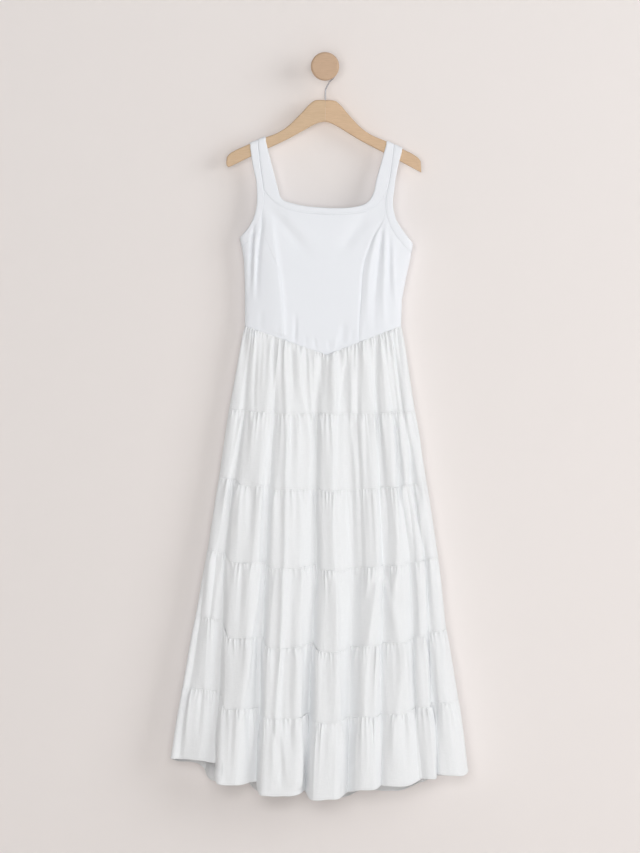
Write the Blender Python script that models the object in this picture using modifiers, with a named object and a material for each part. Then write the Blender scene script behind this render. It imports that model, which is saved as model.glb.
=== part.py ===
"""A sleeveless dress with a gathered skirt of six tiers, on a wooden hanger that hangs from a round wall knob.

Units are metres. The origin is the centre of the knob's back face, on the wall. +Z is up and -Y faces the viewer.
"""

import math

import bmesh
import bpy
import numpy as np

MM = 0.001

# Cloth sizes in millimetres
PANEL_WALL = 1.6
BAND_WALL = 2.2
SKIRT_WALL = 1.6
SEAM_GAP = 0.3
STRAP_CLEARANCE = 0.3
BODICE_DEPTH = 15.0
FLAT_ABOVE_Z = -205.0
FULL_BELOW_Z = -335.0
HANG_Y = -36.0
COLUMNS_PER_STEP = 4
GATHER_SIZE = 1.7

# Hanger and knob sizes in millimetres
HANGER_THICK = 12.0
HANGER_EDGE = 3.0
HANGER_TOP_Z = -70.0
HANGER_TILT = math.radians(1.2)
SHANK_HOLE_RADIUS = 1.6
SHANK_X = 0.8
SHANK_HOLE_Z = -86.0
WIRE_RADIUS = 1.5
KNOB_RADIUS = 30.0
KNOB_STEM_RADIUS = 10.0
KNOB_FRONT_Y = -68.0
KNOB_BACK_Y = -50.0
LOOP_RADIUS = 22.0

# Bodice widths: height z, left side x, right side x
BODICE_WIDTHS = [
    (-360.4, -180.2, 188.0),
    (-373.1, -177.4, 185.9),
    (-407.0, -171.7, 180.2),
    (-449.4, -169.6, 170.7),
    (-494.0, -169.0, 162.2),
    (-544.8, -169.0, 160.5),
]

# Left strap, top to bottom: armhole edge x, z, shared seam x, z, neck edge x, z
STRAP_LEFT = [
    (-159.0, -171.7, -141.9, -163.6, -125.1, -156.8),
    (-153.0, -210.0, -137.0, -208.0, -112.8, -206.0),
    (-146.5, -240.0, -132.7, -240.0, -103.9, -240.0),
    (-144.7, -261.0, -129.6, -261.0, -98.5, -261.0),
]

# Right strap, in the same columns
STRAP_RIGHT = [
    (163.3, -180.0, 145.6, -171.4, 129.6, -164.0),
    (155.4, -210.0, 141.4, -208.0, 117.7, -206.0),
    (149.6, -240.0, 136.5, -240.0, 108.1, -240.0),
    (147.2, -261.0, 131.8, -261.0, 104.3, -261.0),
]

# Front neck band between the straps, left to right: edge x, z, seam x, z
NECK = [
    (-98.5, -261.0, -129.6, -261.0),
    (-94.5, -274.5, -117.5, -276.5),
    (-86.5, -282.8, -101.0, -290.5),
    (-72.1, -287.8, -82.0, -300.5),
    (-52.0, -292.6, -56.0, -307.5),
    (-28.4, -296.0, -30.0, -311.0),
    (14.8, -298.9, 14.8, -313.8),
    (55.0, -297.4, 56.0, -312.0),
    (78.4, -292.6, 84.0, -306.5),
    (89.5, -286.5, 101.5, -298.0),
    (97.5, -277.0, 117.0, -285.0),
    (104.3, -261.0, 131.8, -261.0),
]

# Rows of the neck table, and shares between them, at which the band is shaped
NECK_STATIONS = [
    0.0, 0.5, 1.0, 1.5, 2.0, 2.5, 3.0, 3.6, 4.3, 5.2, 6.0, 6.7, 7.3, 8.0, 8.5, 9.0, 9.5, 10.0, 10.5, 11.0,
]

# Left armhole below the strap, down to the side: edge x, z, seam x, z
ARMHOLE_LEFT = [
    (-144.7, -261.0, -129.6, -261.0),
    (-144.6, -283.0, -129.6, -284.0),
    (-146.3, -300.0, -132.6, -307.0),
    (-152.6, -322.2, -140.5, -333.0),
    (-163.2, -341.3, -155.0, -359.0),
    (-180.2, -360.4, -176.6, -381.6),
]

# Right armhole, in the same columns
ARMHOLE_RIGHT = [
    (147.2, -261.0, 131.8, -261.0),
    (144.4, -281.0, 128.8, -285.0),
    (145.4, -302.0, 129.4, -307.0),
    (152.0, -325.0, 139.0, -338.0),
    (166.0, -347.0, 158.0, -367.0),
    (185.9, -373.1, 182.3, -394.3),
]

# The row of the armhole tables where the princess seams begin
PRINCESS_ROW = 2

# Princess seams from the armhole bands down to the waist: x, z
PRINCESS_LEFT = [
    (-132.6, -307.0), (-132.4, -343.4), (-116.6, -388.0), (-97.5, -433.5),
    (-91.2, -483.4), (-89.0, -544.8), (-87.8, -578.3),
]
PRINCESS_RIGHT = [
    (129.4, -307.0), (122.0, -329.1), (103.9, -358.8), (88.0, -394.2),
    (79.5, -436.7), (76.3, -494.0), (72.5, -541.7), (72.1, -583.6),
]
PRINCESS_FEET = {"left": -87.8, "right": 72.1}

# The back of the neckline is this much lower than the front
BACK_NECK_DROP = 12.0

# Folds of the front bodice: start x, start z, end x, end z, depth inward, half width
FRONT_FOLDS = [
    (-118.0, -300.0, -30.0, -405.0, 3.2, 13.0),
    (-88.0, -312.0, -20.0, -372.0, -1.6, 12.0),
    (88.0, -318.0, 26.0, -398.0, 3.0, 13.0),
    (-132.0, -300.0, -124.0, -420.0, 3.5, 7.0),
    (-153.0, -345.0, -153.0, -440.0, 3.2, 8.0),
    (119.0, -338.0, 118.0, -506.0, 3.2, 8.0),
    (148.0, -372.0, 145.0, -472.0, 3.0, 8.0),
    (-63.0, -528.0, -64.0, -590.0, 2.4, 9.0),
    (-21.0, -560.0, -20.0, -600.0, 2.0, 8.0),
    (40.0, -545.0, 36.0, -592.0, 2.0, 8.0),
]

# Folds of the back bodice: start x, start z, end x, end z, depth inward, half width
BACK_FOLDS = [
    (112.0, -318.0, 40.0, -420.0, 3.0, 14.0),
    (-104.0, -322.0, -34.0, -412.0, 3.2, 13.0),
    (136.0, -356.0, 132.0, -470.0, 3.0, 9.0),
    (-140.0, -362.0, -138.0, -486.0, 3.2, 8.0),
    (30.0, -520.0, 34.0, -590.0, 2.2, 9.0),
    (-58.0, -532.0, -52.0, -588.0, 2.4, 9.0),
]

# Skirt seams: side z, drop at the centre, left x, right x, middle y, half depth, fold size
SEAMS = [
    (-549.1, 61.5, -169.0, 160.5, -36.0, 15.0, 0.0),
    (-725.0, 10.6, -202.5, 189.7, -38.0, 18.0, 7.0),
    (-869.2, 29.7, -223.7, 214.1, -42.0, 21.0, 10.0),
    (-1024.0, 42.4, -248.0, 238.5, -48.0, 24.0, 13.0),
    (-1163.9, 74.2, -273.5, 255.0, -54.0, 26.0, 16.0),
    (-1314.4, 72.1, -301.0, 281.0, -61.0, 28.0, 19.0),
    (-1464.1, 86.9, -324.4, 300.5, -68.0, 30.0, 22.0),
]

# How much wider the ridges are than the valleys, at the waist and at the hem
RIDGE_POWERS = (1.2, 1.75)

# Front folds, left to right: waist x, third seam x, hem x, waist height, third seam height, hem height, drop share
FRONT_LINES = [
    (-160.0, -233.0, -279.8, 0.3, 0.3, 0.1, 0.02),
    (-150.0, -212.0, -229.0, -0.6, -0.7, -0.8, 0.20),
    (-118.0, -154.8, -190.8, 0.7, 0.9, 0.7, 0.62),
    (-100.0, -125.1, -142.0, -0.6, -0.8, -0.9, 0.56),
    (-87.8, -84.8, -93.3, 0.9, 1.0, 0.9, 0.88),
    (-25.0, -19.1, -40.3, -0.9, -1.0, -1.0, 0.72),
    (3.4, 21.2, 15.9, 0.7, 0.9, 1.0, 1.00),
    (42.0, 65.7, 57.2, -0.6, -0.8, -0.7, 0.84),
    (72.1, 108.1, 95.4, 0.6, 0.9, 0.8, 0.84),
    (98.0, 131.4, 131.4, -0.9, -0.5, -0.5, 0.72),
    (112.0, 155.8, 161.1, 0.7, 0.7, 0.7, 0.74),
    (125.0, 180.2, 200.0, -0.5, -0.6, -0.8, 0.56),
    (135.0, 195.0, 229.0, 0.5, 0.5, 0.4, 0.56),
    (143.0, 209.9, 247.0, -0.4, -0.4, -0.5, 0.44),
    (152.0, 224.7, 274.5, 0.3, 0.4, 0.4, 0.42),
]

# Back folds, left to right, in the same columns
BACK_LINES = [
    (-158.0, -231.1, -288.3, 0.3, 0.4, 0.4, 0.10),
    (-142.0, -208.0, -252.5, -0.4, -0.5, -0.6, 0.26),
    (-117.0, -176.2, -209.9, 0.6, 0.8, 0.7, 0.58),
    (-87.8, -133.6, -161.0, -0.5, -0.6, -0.8, 0.60),
    (-53.0, -86.9, -103.9, 0.8, 0.9, 1.0, 0.86),
    (-19.1, -38.0, -48.5, -0.7, -0.8, -0.9, 0.76),
    (3.4, 17.1, 14.8, 0.6, 0.7, 0.8, 1.00),
    (40.0, 68.0, 76.4, -0.5, -0.7, -0.8, 0.76),
    (72.1, 121.1, 142.3, 0.7, 0.8, 0.9, 0.82),
    (112.0, 171.7, 205.6, -0.5, -0.6, -0.8, 0.58),
    (141.0, 211.9, 256.5, 0.4, 0.5, 0.5, 0.44),
]

SIDE_DROP_SHARES = (0.0, 0.30)

# Rows down a tier: share of the way down, gather share, puff share
TIER_ROWS = [
    (0.0, 0.35, 0.0),
    (0.13, 1.0, 1.0),
    (0.5, 0.4, 0.5),
    (1.0, 0.0, 0.0),
]

# How far each tier puffs out below its seam
TIER_PUFFS = [4.0, 2.4, 2.4, 2.6, 2.8, 3.0]

# Uneven sizes of the gathers, read in turn
GATHER_SIZES = [1.0, 0.7, 1.2, 0.85, 1.1, 0.6, 0.95, 1.25, 0.8, 1.05, 0.75]

# Half outline of the hanger from its middle outward: distance, height below its top
HANGER_UPPER = [
    (0.0, 0.0), (12.0, -0.2), (20.1, -0.9), (32.9, -10.0), (46.0, -25.0), (60.4, -40.3), (75.0, -55.0), (89.0, -65.7),
    (105.0, -74.5), (121.0, -80.7), (172.0, -103.0), (190.0, -111.8), (201.0, -119.5), (205.6, -126.0), (207.4, -149.4),
]
HANGER_LOWER = [
    (0.0, -45.8), (10.0, -47.4), (21.2, -52.2), (47.0, -67.0), (74.2, -82.7), (120.8, -106.0), (156.9, -124.0),
]

# The strap's turn over the hanger: distance across, height above the hanger's upper edge
STRAP_SIDE = HANGER_THICK / 2 + STRAP_CLEARANCE + BAND_WALL / 2
STRAP_TURN = HANGER_EDGE + STRAP_CLEARANCE + BAND_WALL / 2
STRAP_TOP_ANGLES = [180.0, 150.0, 120.0, 90.0]

COLORS = {
    "jersey": (0.81, 0.825, 0.87),
    "cloth": (0.86, 0.86, 0.865),
    "pale_wood": (0.66, 0.47, 0.29),
    "warm_wood": (0.62, 0.42, 0.25),
    "knob_wood": (0.58, 0.38, 0.245),
    "steel": (0.62, 0.62, 0.64),
}


def clear_scene():
    """Remove every object of the start-up scene."""
    for item in list(bpy.data.objects):
        bpy.data.objects.remove(item, do_unlink=True)


def make_collection(name, hidden=False):
    """Make a collection in the scene."""
    group = bpy.data.collections.new(name)
    bpy.context.scene.collection.children.link(group)
    group.hide_render = hidden
    return group


def make_material(name, color, roughness, metallic):
    """Make a plain Principled material."""
    material = bpy.data.materials.new(name)
    material.use_nodes = True
    shader = material.node_tree.nodes["Principled BSDF"]
    shader.inputs["Base Color"].default_value = (*color, 1.0)
    shader.inputs["Roughness"].default_value = roughness
    shader.inputs["Metallic"].default_value = metallic
    return material


def add_object(name, mesh, group, finish, roughness=0.85, metallic=0.0):
    """Put a mesh in the part's collection with its own material."""
    item = bpy.data.objects.new(name, mesh)
    group.objects.link(item)
    item.data.materials.append(make_material(name + "_finish", COLORS[finish], roughness, metallic))
    return item


def smoothstep(value, start, end):
    """Ease from 0 at start to 1 at end."""
    share = np.clip((np.asarray(value, dtype=float) - start) / (end - start), 0.0, 1.0)
    return share * share * (3.0 - 2.0 * share)


def ring_widths(z):
    """Left and right side of the bodice at a height."""
    table = np.array(BODICE_WIDTHS)[::-1]
    return np.interp(z, table[:, 0], table[:, 1]), np.interp(z, table[:, 0], table[:, 2])


def angle_of(x, z, back=False):
    """Angle round the bodice of a point at x, z."""
    left, right = ring_widths(z)
    share = np.clip((np.asarray(x) - (left + right) / 2) / ((right - left) / 2), -1.0, 1.0)
    angle = np.arcsin(share)
    return np.pi - angle if back else angle


def fold_depth(x, z, folds):
    """Inward depth of the soft folds at a point."""
    total = np.zeros(np.broadcast(x, z).shape)
    for x0, z0, x1, z1, depth, width in folds:
        run = np.array([x1 - x0, z1 - z0])
        share = ((x - x0) * run[0] + (z - z0) * run[1]) / (run @ run)
        inside = np.clip(share, 0.0, 1.0)
        away = np.hypot(x - x0 - inside * run[0], z - z0 - inside * run[1])
        fade = smoothstep(inside, -0.15, 0.2) * (1.0 - 0.75 * smoothstep(inside, 0.6, 1.0))
        total = total + depth * fade * np.exp(-((away / width) ** 2))
    return total


def bodice_point(angle, z):
    """Middle of the cloth at an angle and a height, in millimetres."""
    angle, z = np.broadcast_arrays(np.asarray(angle, dtype=float), np.asarray(z, dtype=float))
    left, right = ring_widths(z)
    sine = np.sin(angle)
    facing = np.sign(np.cos(angle))
    round_share = facing * np.cbrt(np.clip(1.0 - np.abs(sine) ** 3, 0.0, 1.0))
    x = (left + right) / 2 + (right - left) / 2 * sine
    full = 1.0 - smoothstep(z, FULL_BELOW_Z, FLAT_ABOVE_Z)
    depth = STRAP_SIDE * facing * (1.0 - full) + BODICE_DEPTH * round_share * full
    folds = np.where(facing >= 0, fold_depth(x, z, FRONT_FOLDS), fold_depth(x, z, BACK_FOLDS))
    depth = depth - facing * folds * full * np.clip(1.6 * np.abs(round_share), 0.0, 1.0)
    return np.stack([x, HANG_Y - depth, z], axis=-1)


def bodice_normal(angle, z):
    """Outward direction of the cloth at an angle and a height."""
    round_step = bodice_point(angle + 0.02, z) - bodice_point(angle - 0.02, z)
    down_step = bodice_point(angle, z + 2.0) - bodice_point(angle, z - 2.0)
    normal = np.cross(round_step, down_step)
    return normal / np.linalg.norm(normal, axis=-1, keepdims=True)


def resample(points, count):
    """Points at even distances along a smooth line through a table."""
    table = np.array(points, dtype=float)
    lengths = np.concatenate([[0.0], np.cumsum(np.linalg.norm(np.diff(table[:, :2], axis=0), axis=1))])
    slopes = np.gradient(table, lengths, axis=0)
    wanted = np.linspace(0.0, lengths[-1], count)
    cell = np.clip(np.searchsorted(lengths, wanted, side="right") - 1, 0, len(lengths) - 2)
    span = lengths[cell + 1] - lengths[cell]
    t = ((wanted - lengths[cell]) / span)[:, None]
    span = span[:, None]
    h00 = 2 * t**3 - 3 * t**2 + 1
    h10 = t**3 - 2 * t**2 + t
    h01 = -2 * t**3 + 3 * t**2
    h11 = t**3 - t**2
    return (
        h00 * table[cell]
        + h10 * span * slopes[cell]
        + h01 * table[cell + 1]
        + h11 * span * slopes[cell + 1]
    )


def wall_mesh(name, outer, inner):
    """A closed wall between two grids of points in millimetres."""
    rows, columns = outer.shape[:2]
    mesh = bpy.data.meshes.new(name)
    shell = bmesh.new()
    skins = []
    for points in (outer, inner):
        start = len(shell.verts)
        bmesh.ops.create_grid(shell, x_segments=columns - 1, y_segments=rows - 1, size=1.0)
        shell.verts.ensure_lookup_table()
        skin = [shell.verts[start + i] for i in range(rows * columns)]
        for vert, point in zip(skin, points.reshape(-1, 3)):
            vert.co = point * MM
        skins.append(skin)
    rim = [(0, c) for c in range(columns)]
    rim += [(r, columns - 1) for r in range(1, rows)]
    rim += [(rows - 1, c) for c in range(columns - 2, -1, -1)]
    rim += [(r, 0) for r in range(rows - 2, 0, -1)]
    loop = [r * columns + c for r, c in rim]
    for here, there in zip(loop, loop[1:] + loop[:1]):
        shell.faces.new([skins[0][here], skins[0][there], skins[1][there], skins[1][here]])
    bmesh.ops.recalc_face_normals(shell, faces=shell.faces)
    bmesh.ops.triangulate(shell, faces=shell.faces)
    if shell.calc_volume(signed=True) < 0:
        bmesh.ops.reverse_faces(shell, faces=shell.faces)
    shell.to_mesh(mesh)
    shell.free()
    return mesh


def seam_inset(points, columns_end=False):
    """Move the border of a grid inward by half a seam gap."""
    moved = points.copy()
    half = SEAM_GAP / 2

    def toward(target, source):
        step = target - source
        return step / np.maximum(np.linalg.norm(step, axis=-1, keepdims=True), 1e-9)

    def square(step, along):
        along = along / np.maximum(np.linalg.norm(along, axis=-1, keepdims=True), 1e-9)
        side = step - np.sum(step * along, axis=-1, keepdims=True) * along
        return side / np.maximum(np.linalg.norm(side, axis=-1, keepdims=True), 1e-9)

    moved[0] += half * square(toward(points[1], points[0]), np.gradient(points[0], axis=0))
    moved[-1] += half * square(toward(points[-2], points[-1]), np.gradient(points[-1], axis=0))
    if columns_end:
        moved[:, 0] += half * square(toward(points[:, 1], points[:, 0]), np.gradient(points[:, 0], axis=0))
        moved[:, -1] += half * square(toward(points[:, -2], points[:, -1]), np.gradient(points[:, -1], axis=0))
    return moved


def coons(top, bottom, left, right):
    """Fill the field between four border lines."""
    rows, columns = len(left), len(top)
    down = np.linspace(0.0, 1.0, rows)[:, None, None]
    across = np.linspace(0.0, 1.0, columns)[None, :, None]
    ruled = (1 - down) * top[None] + down * bottom[None] + (1 - across) * left[:, None] + across * right[:, None]
    corners = (1 - down) * ((1 - across) * top[0] + across * top[-1])
    corners = corners + down * ((1 - across) * bottom[0] + across * bottom[-1])
    return ruled - corners


def to_field(line, back=False):
    """Turn a line of x, z into angle, z."""
    return np.stack([angle_of(line[:, 0], line[:, 1], back), line[:, 1]], axis=-1)


def waist_z(x):
    """Height of the waist seam, a straight-sided point with its tip under the centre."""
    side, drop, left, right = SEAMS[0][:4]
    tip = FRONT_LINES[6][0]
    reach = np.where(np.asarray(x) < tip, tip - left, right - tip)
    return side - drop * (1.0 - np.abs(np.asarray(x) - tip) / reach)


def waist_line(start, end, count):
    """Points along the waist seam between two places."""
    x = np.linspace(start, end, count)
    tip = FRONT_LINES[6][0]
    if min(start, end) < tip < max(start, end):
        x[np.argmin(np.abs(x - tip))] = tip
    return np.stack([x, waist_z(x)], axis=-1)


def panel(name, group, field):
    """A bodice panel from a grid of angle, z."""
    middle = bodice_point(field[..., 0], field[..., 1])
    normal = bodice_normal(field[..., 0], field[..., 1])
    middle = seam_inset(middle, columns_end=True)
    half = normal * PANEL_WALL / 2
    return add_object(name, wall_mesh(name, middle + half, middle - half), group, "jersey")


def neck_rows(back):
    """Edge and seam of the neck band between the straps, lowered at the back."""
    rows = smooth_rows(NECK, np.array(NECK_STATIONS))
    if back:
        share = np.sin(np.linspace(0.0, np.pi, len(rows))) ** 2
        rows[:, [1, 3]] -= BACK_NECK_DROP * share[:, None]
    return rows


def armhole_rows(side):
    """Edge and seam of an armhole band below the strap."""
    table = ARMHOLE_LEFT if side == "left" else ARMHOLE_RIGHT
    return smooth_rows(table, np.linspace(0.0, len(table) - 1.0, 3 * len(table) - 2))


def side_foot(side, back):
    """Angle and height of the skirt columns that a side panel stands over, from its princess seam to the side."""
    lines = BACK_LINES if back else FRONT_LINES
    points = half_ring(0.0, lines, -1.0 if back else 1.0)
    left, right = ring_widths(points[:, 2])
    angle = np.arcsin(np.clip((points[:, 0] - (left + right) / 2) / ((right - left) / 2), -1.0, 1.0))
    field = np.stack([np.pi - angle if back else angle, points[:, 2]], axis=-1)
    if side == "right":
        field = field[::-1]
    stop = int(np.argmin(np.abs((points[:, 0] if side == "left" else points[::-1, 0]) - PRINCESS_FEET[side])))
    picks = [0, 1, 2, 3, 4, 6] + [int(round(6 + (stop - 6) * k / 4)) for k in range(1, 5)]
    return field[picks[::-1]]


def build_bodice(group):
    """Centre and side panels of the front and the back."""
    for word, back in (("front", False), ("back", True)):
        top = neck_rows(back)[:, 2:]
        borders = []
        for side, line in (("left", PRINCESS_LEFT), ("right", PRINCESS_RIGHT)):
            arm = armhole_rows(side)[:, 2:]
            start = 3 * PRINCESS_ROW
            princess = resample(line, 8)
            princess[-1, 0] = PRINCESS_FEET[side]
            princess[-1, 1] = waist_z(princess[-1, 0])
            borders.append(np.concatenate([arm[:start], princess]))
            princess = to_field(resample(line, 8), back)
            foot = side_foot(side, back)
            bend = to_field(arm[start:], back)
            seam_z = np.linspace(bend[-1, 1], SEAMS[0][0], 8)
            princess[-1] = foot[0]
            princess[0] = bend[0]
            corner = side_angle(side, back)
            foot[-1, 0] = corner
            bend[-1, 0] = corner
            side_line = np.stack([np.full(8, corner), seam_z], axis=-1)
            panel("bodice_side_{}_{}".format(word, side), group, coons(bend, foot, princess, side_line))
        left, right = (to_field(points, back) for points in borders)
        bottom = to_field(waist_line(PRINCESS_FEET["left"], PRINCESS_FEET["right"], len(top)), back)
        top = to_field(top, back)
        panel("bodice_centre_" + word, group, coons(top, bottom, left, right))


def side_angle(side, back):
    """Angle of a side seam, counted on from the front or from the back."""
    if side == "right":
        return np.pi / 2
    return 1.5 * np.pi if back else -np.pi / 2


def hanger_edge(x):
    """Height of the hanger's tilted upper edge and its outward direction at x."""
    outline = [(-d, h) for d, h in HANGER_UPPER[::-1]] + HANGER_UPPER[1:]
    points = np.array([tilt(d, h) for d, h in outline])
    z = np.interp(x, points[:, 0], points[:, 1])
    slope = (np.interp(x + 1.0, points[:, 0], points[:, 1]) - np.interp(x - 1.0, points[:, 0], points[:, 1])) / 2.0
    normal = np.array([-slope, 1.0]) / math.hypot(slope, 1.0)
    return z, normal


def tilt(along, height):
    """Place a point of the hanger, which leans down a little on the right."""
    x = along * math.cos(HANGER_TILT) + height * math.sin(HANGER_TILT)
    z = -along * math.sin(HANGER_TILT) + height * math.cos(HANGER_TILT)
    return x, HANGER_TOP_Z + z


def strap_turn(columns):
    """Points and outward directions of a strap's turn over the hanger, front to back."""
    profile = [(angle, -1.0) for angle in STRAP_TOP_ANGLES]
    profile += [(180.0 - angle, 1.0) for angle in STRAP_TOP_ANGLES[::-1]]
    points, normals = [], []
    flat = HANGER_THICK / 2 - HANGER_EDGE
    for angle, side in profile:
        cos, sin = math.cos(math.radians(angle)), math.sin(math.radians(angle))
        row, facing = [], []
        for x in columns:
            z, normal = hanger_edge(x)
            up = -HANGER_EDGE + STRAP_TURN * sin
            across = side * flat + STRAP_TURN * cos
            row.append((x + normal[0] * up, HANG_Y + across, z + normal[1] * up))
            facing.append((normal[0] * sin, cos, normal[1] * sin))
        points.append(row)
        normals.append(facing)
    return np.array(points), np.array(normals)


def band_field(edge, seam, back, corner=None):
    """Middle points and directions of a band laid in the bodice's surface, ending at a side seam if given."""
    a, b = to_field(edge, back), to_field(seam, back)
    if corner is not None:
        a[-1, 0] = corner
        b[-1, 0] = corner
    field = np.stack([a, b], axis=1)
    return bodice_point(field[..., 0], field[..., 1]), bodice_normal(field[..., 0], field[..., 1])


def build_band(name, group, pieces):
    """A band's wall through its runs, each a pair of point and direction grids."""
    points = np.concatenate([run[0] for run in pieces])
    normals = np.concatenate([run[1] for run in pieces])
    points = seam_inset(points, columns_end=True)
    half = normals * BAND_WALL / 2
    return add_object(name, wall_mesh(name, points + half, points - half), group, "jersey")


def strap_rows(side, edge_at):
    """Edge and shared seam of one strip of a strap, top to bottom."""
    table = np.array(STRAP_LEFT if side == "left" else STRAP_RIGHT)
    rows = smooth_rows(table, np.linspace(0.0, len(table) - 1.0, 6))
    return rows[:, [edge_at, edge_at + 1, 2, 3]]


def build_bands(group):
    """The neck band and the two armhole bands, each a strip over the hanger."""
    halves = []
    for back in (False, True):
        rows = np.concatenate([
            strap_rows("left", 4)[:-1],
            neck_rows(back),
            strap_rows("right", 4)[-2::-1],
        ])
        halves.append(band_field(rows[:, :2], rows[:, 2:], back))
    front, back = halves
    middle = len(rows) // 2
    over_left = strap_turn((-125.6, -142.6))
    over_right = strap_turn((130.4, 146.3))
    runs = [
        (back[0][middle::-1], back[1][middle::-1]),
        (over_left[0][::-1], over_left[1][::-1]),
        front,
        over_right,
        (back[0][: middle - 1 : -1], back[1][: middle - 1 : -1]),
    ]
    build_band("neck_band", group, runs)
    for side, top in (("left", (-159.6, -142.6)), ("right", (164.3, 146.3))):
        rows = np.concatenate([strap_rows(side, 0)[:-1], armhole_rows(side)])
        fields = []
        for is_back in (False, True):
            fields.append(band_field(rows[:, :2], rows[:, 2:], is_back, side_angle(side, is_back)))
        front, back = fields
        runs = [(front[0][::-1], front[1][::-1]), strap_turn(top), back]
        build_band("armhole_band_" + side, group, runs)


def smooth_rows(points, rows):
    """Read a table between its rows along a smooth line."""
    table = np.array(points, dtype=float)
    slopes = np.gradient(table, axis=0)
    cell = np.clip(np.floor(rows).astype(int), 0, len(table) - 2)
    t = (rows - cell)[:, None]
    return (
        (2 * t**3 - 3 * t**2 + 1) * table[cell]
        + (t**3 - 2 * t**2 + t) * slopes[cell]
        + (-2 * t**3 + 3 * t**2) * table[cell + 1]
        + (t**3 - t**2) * slopes[cell + 1]
    )


def seam_values(level):
    """The seam table read between its rows."""
    table = np.array(SEAMS)
    return [np.interp(level, np.arange(len(table)), table[:, i]) for i in range(table.shape[1])]


def half_ring(level, lines, facing):
    """Columns of one half of the skirt at a level, from the left side to the right side.

    Returns the points and the number of each column within its step.
    """
    side_z, drop, left, right, middle_y, depth, size = seam_values(level)
    centre, reach = (left + right) / 2, (right - left) / 2
    table = np.array(lines)
    x = np.where(
        level <= 3.0,
        table[:, 0] + (table[:, 1] - table[:, 0]) * level / 3.0,
        table[:, 1] + (table[:, 2] - table[:, 1]) * (level - 3.0) / 3.0,
    )
    height = np.where(
        level <= 3.0,
        table[:, 3] + (table[:, 4] - table[:, 3]) * level / 3.0,
        table[:, 4] + (table[:, 5] - table[:, 4]) * (level - 3.0) / 3.0,
    )
    share = np.concatenate([[-1.0], (x - centre) / reach, [1.0]])
    height = np.concatenate([[0.0], height, [0.0]])
    drops = np.concatenate([[SIDE_DROP_SHARES[0]], table[:, 6], [SIDE_DROP_SHARES[1]]])
    angle = np.arcsin(share)
    power = RIDGE_POWERS[0] + (RIDGE_POWERS[1] - RIDGE_POWERS[0]) * level / 6.0
    columns = []
    for i in range(len(share) - 1):
        for k in range(COLUMNS_PER_STEP):
            t = k / COLUMNS_PER_STEP
            if height[i] > height[i + 1]:
                ease = (1 - math.cos(math.pi * t**power)) / 2
            else:
                ease = (1 + math.cos(math.pi * (1 - t) ** power)) / 2
            at = angle[i] + (angle[i + 1] - angle[i]) * t
            columns.append((
                math.sin(at),
                height[i] + (height[i + 1] - height[i]) * ease,
                drops[i] + (drops[i + 1] - drops[i]) * ease,
            ))
    columns.append((1.0, 0.0, drops[-1]))
    u, fold, fall = np.array(columns).T
    round_share = np.cbrt(np.clip(1.0 - np.abs(u) ** 3, 0.0, 1.0))
    px = centre + reach * u
    py = middle_y - facing * (depth * round_share + size * fold * np.clip(1.6 * round_share, 0.0, 1.0))
    plain = side_z - drop * fall
    if level < 1.0:
        top = waist_z(SEAMS[0][2] + (u + 1) / 2 * (SEAMS[0][3] - SEAMS[0][2]))
        low = SEAMS[1][0] - SEAMS[1][1] * fall
        plain = top + (low - top) * level
    return np.stack([px, py, plain], axis=-1)


def ring_normals(points, facing):
    """Level directions pointing out of the skirt at the columns of a half ring."""
    step = np.zeros((len(points), 2))
    step[1:-1] = points[2:, :2] - points[:-2, :2]
    step[0] = (0.0, -facing)
    step[-1] = (0.0, facing)
    normal = np.stack([step[:, 1], -step[:, 0], np.zeros(len(points))], axis=-1) * facing
    return normal / np.linalg.norm(normal, axis=-1, keepdims=True)


def build_skirt(group):
    """Six tiers, each a front and a back with side seams."""
    for tier in range(6):
        for word, lines, facing in (("front", FRONT_LINES, 1.0), ("back", BACK_LINES, -1.0)):
            outer, inner = [], []
            steps = len(lines) + 1
            count = steps * COLUMNS_PER_STEP + 1
            wave = np.sin(2 * np.pi * (np.arange(count) / COLUMNS_PER_STEP + 0.5 * (tier % 2)))
            sizes = np.array([GATHER_SIZES[(i + 3 * tier) % len(GATHER_SIZES)] for i in range(steps)])
            wave *= np.repeat(sizes, COLUMNS_PER_STEP).tolist() + [0.0]
            wave[:2] = 0.0
            wave[-2:] = 0.0
            for share, gather, puff in TIER_ROWS:
                points = half_ring(tier + share, lines, facing)
                normals = ring_normals(points, facing)
                middle = points + normals * (puff * TIER_PUFFS[tier] + gather * GATHER_SIZE * wave)[:, None]
                if share in (0.0, 1.0):
                    slope = np.gradient(middle[:, 2]) / np.maximum(
                        np.hypot(np.gradient(middle[:, 0]), np.gradient(middle[:, 1])), 0.5
                    )
                    lift = SEAM_GAP / 2 * np.sqrt(1.0 + slope**2)
                    if not (tier == 5 and share == 1.0):
                        middle[:, 2] += lift if share == 1.0 else -lift
                middle[0, 1] -= facing * SEAM_GAP / 2
                middle[-1, 1] -= facing * SEAM_GAP / 2
                outer.append(middle + normals * SKIRT_WALL / 2)
                inner.append(middle - normals * SKIRT_WALL / 2)
            name = "skirt_tier_{}_{}".format(tier + 1, word)
            add_object(name, wall_mesh(name, np.array(outer), np.array(inner)), group, "cloth", 0.9)


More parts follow.
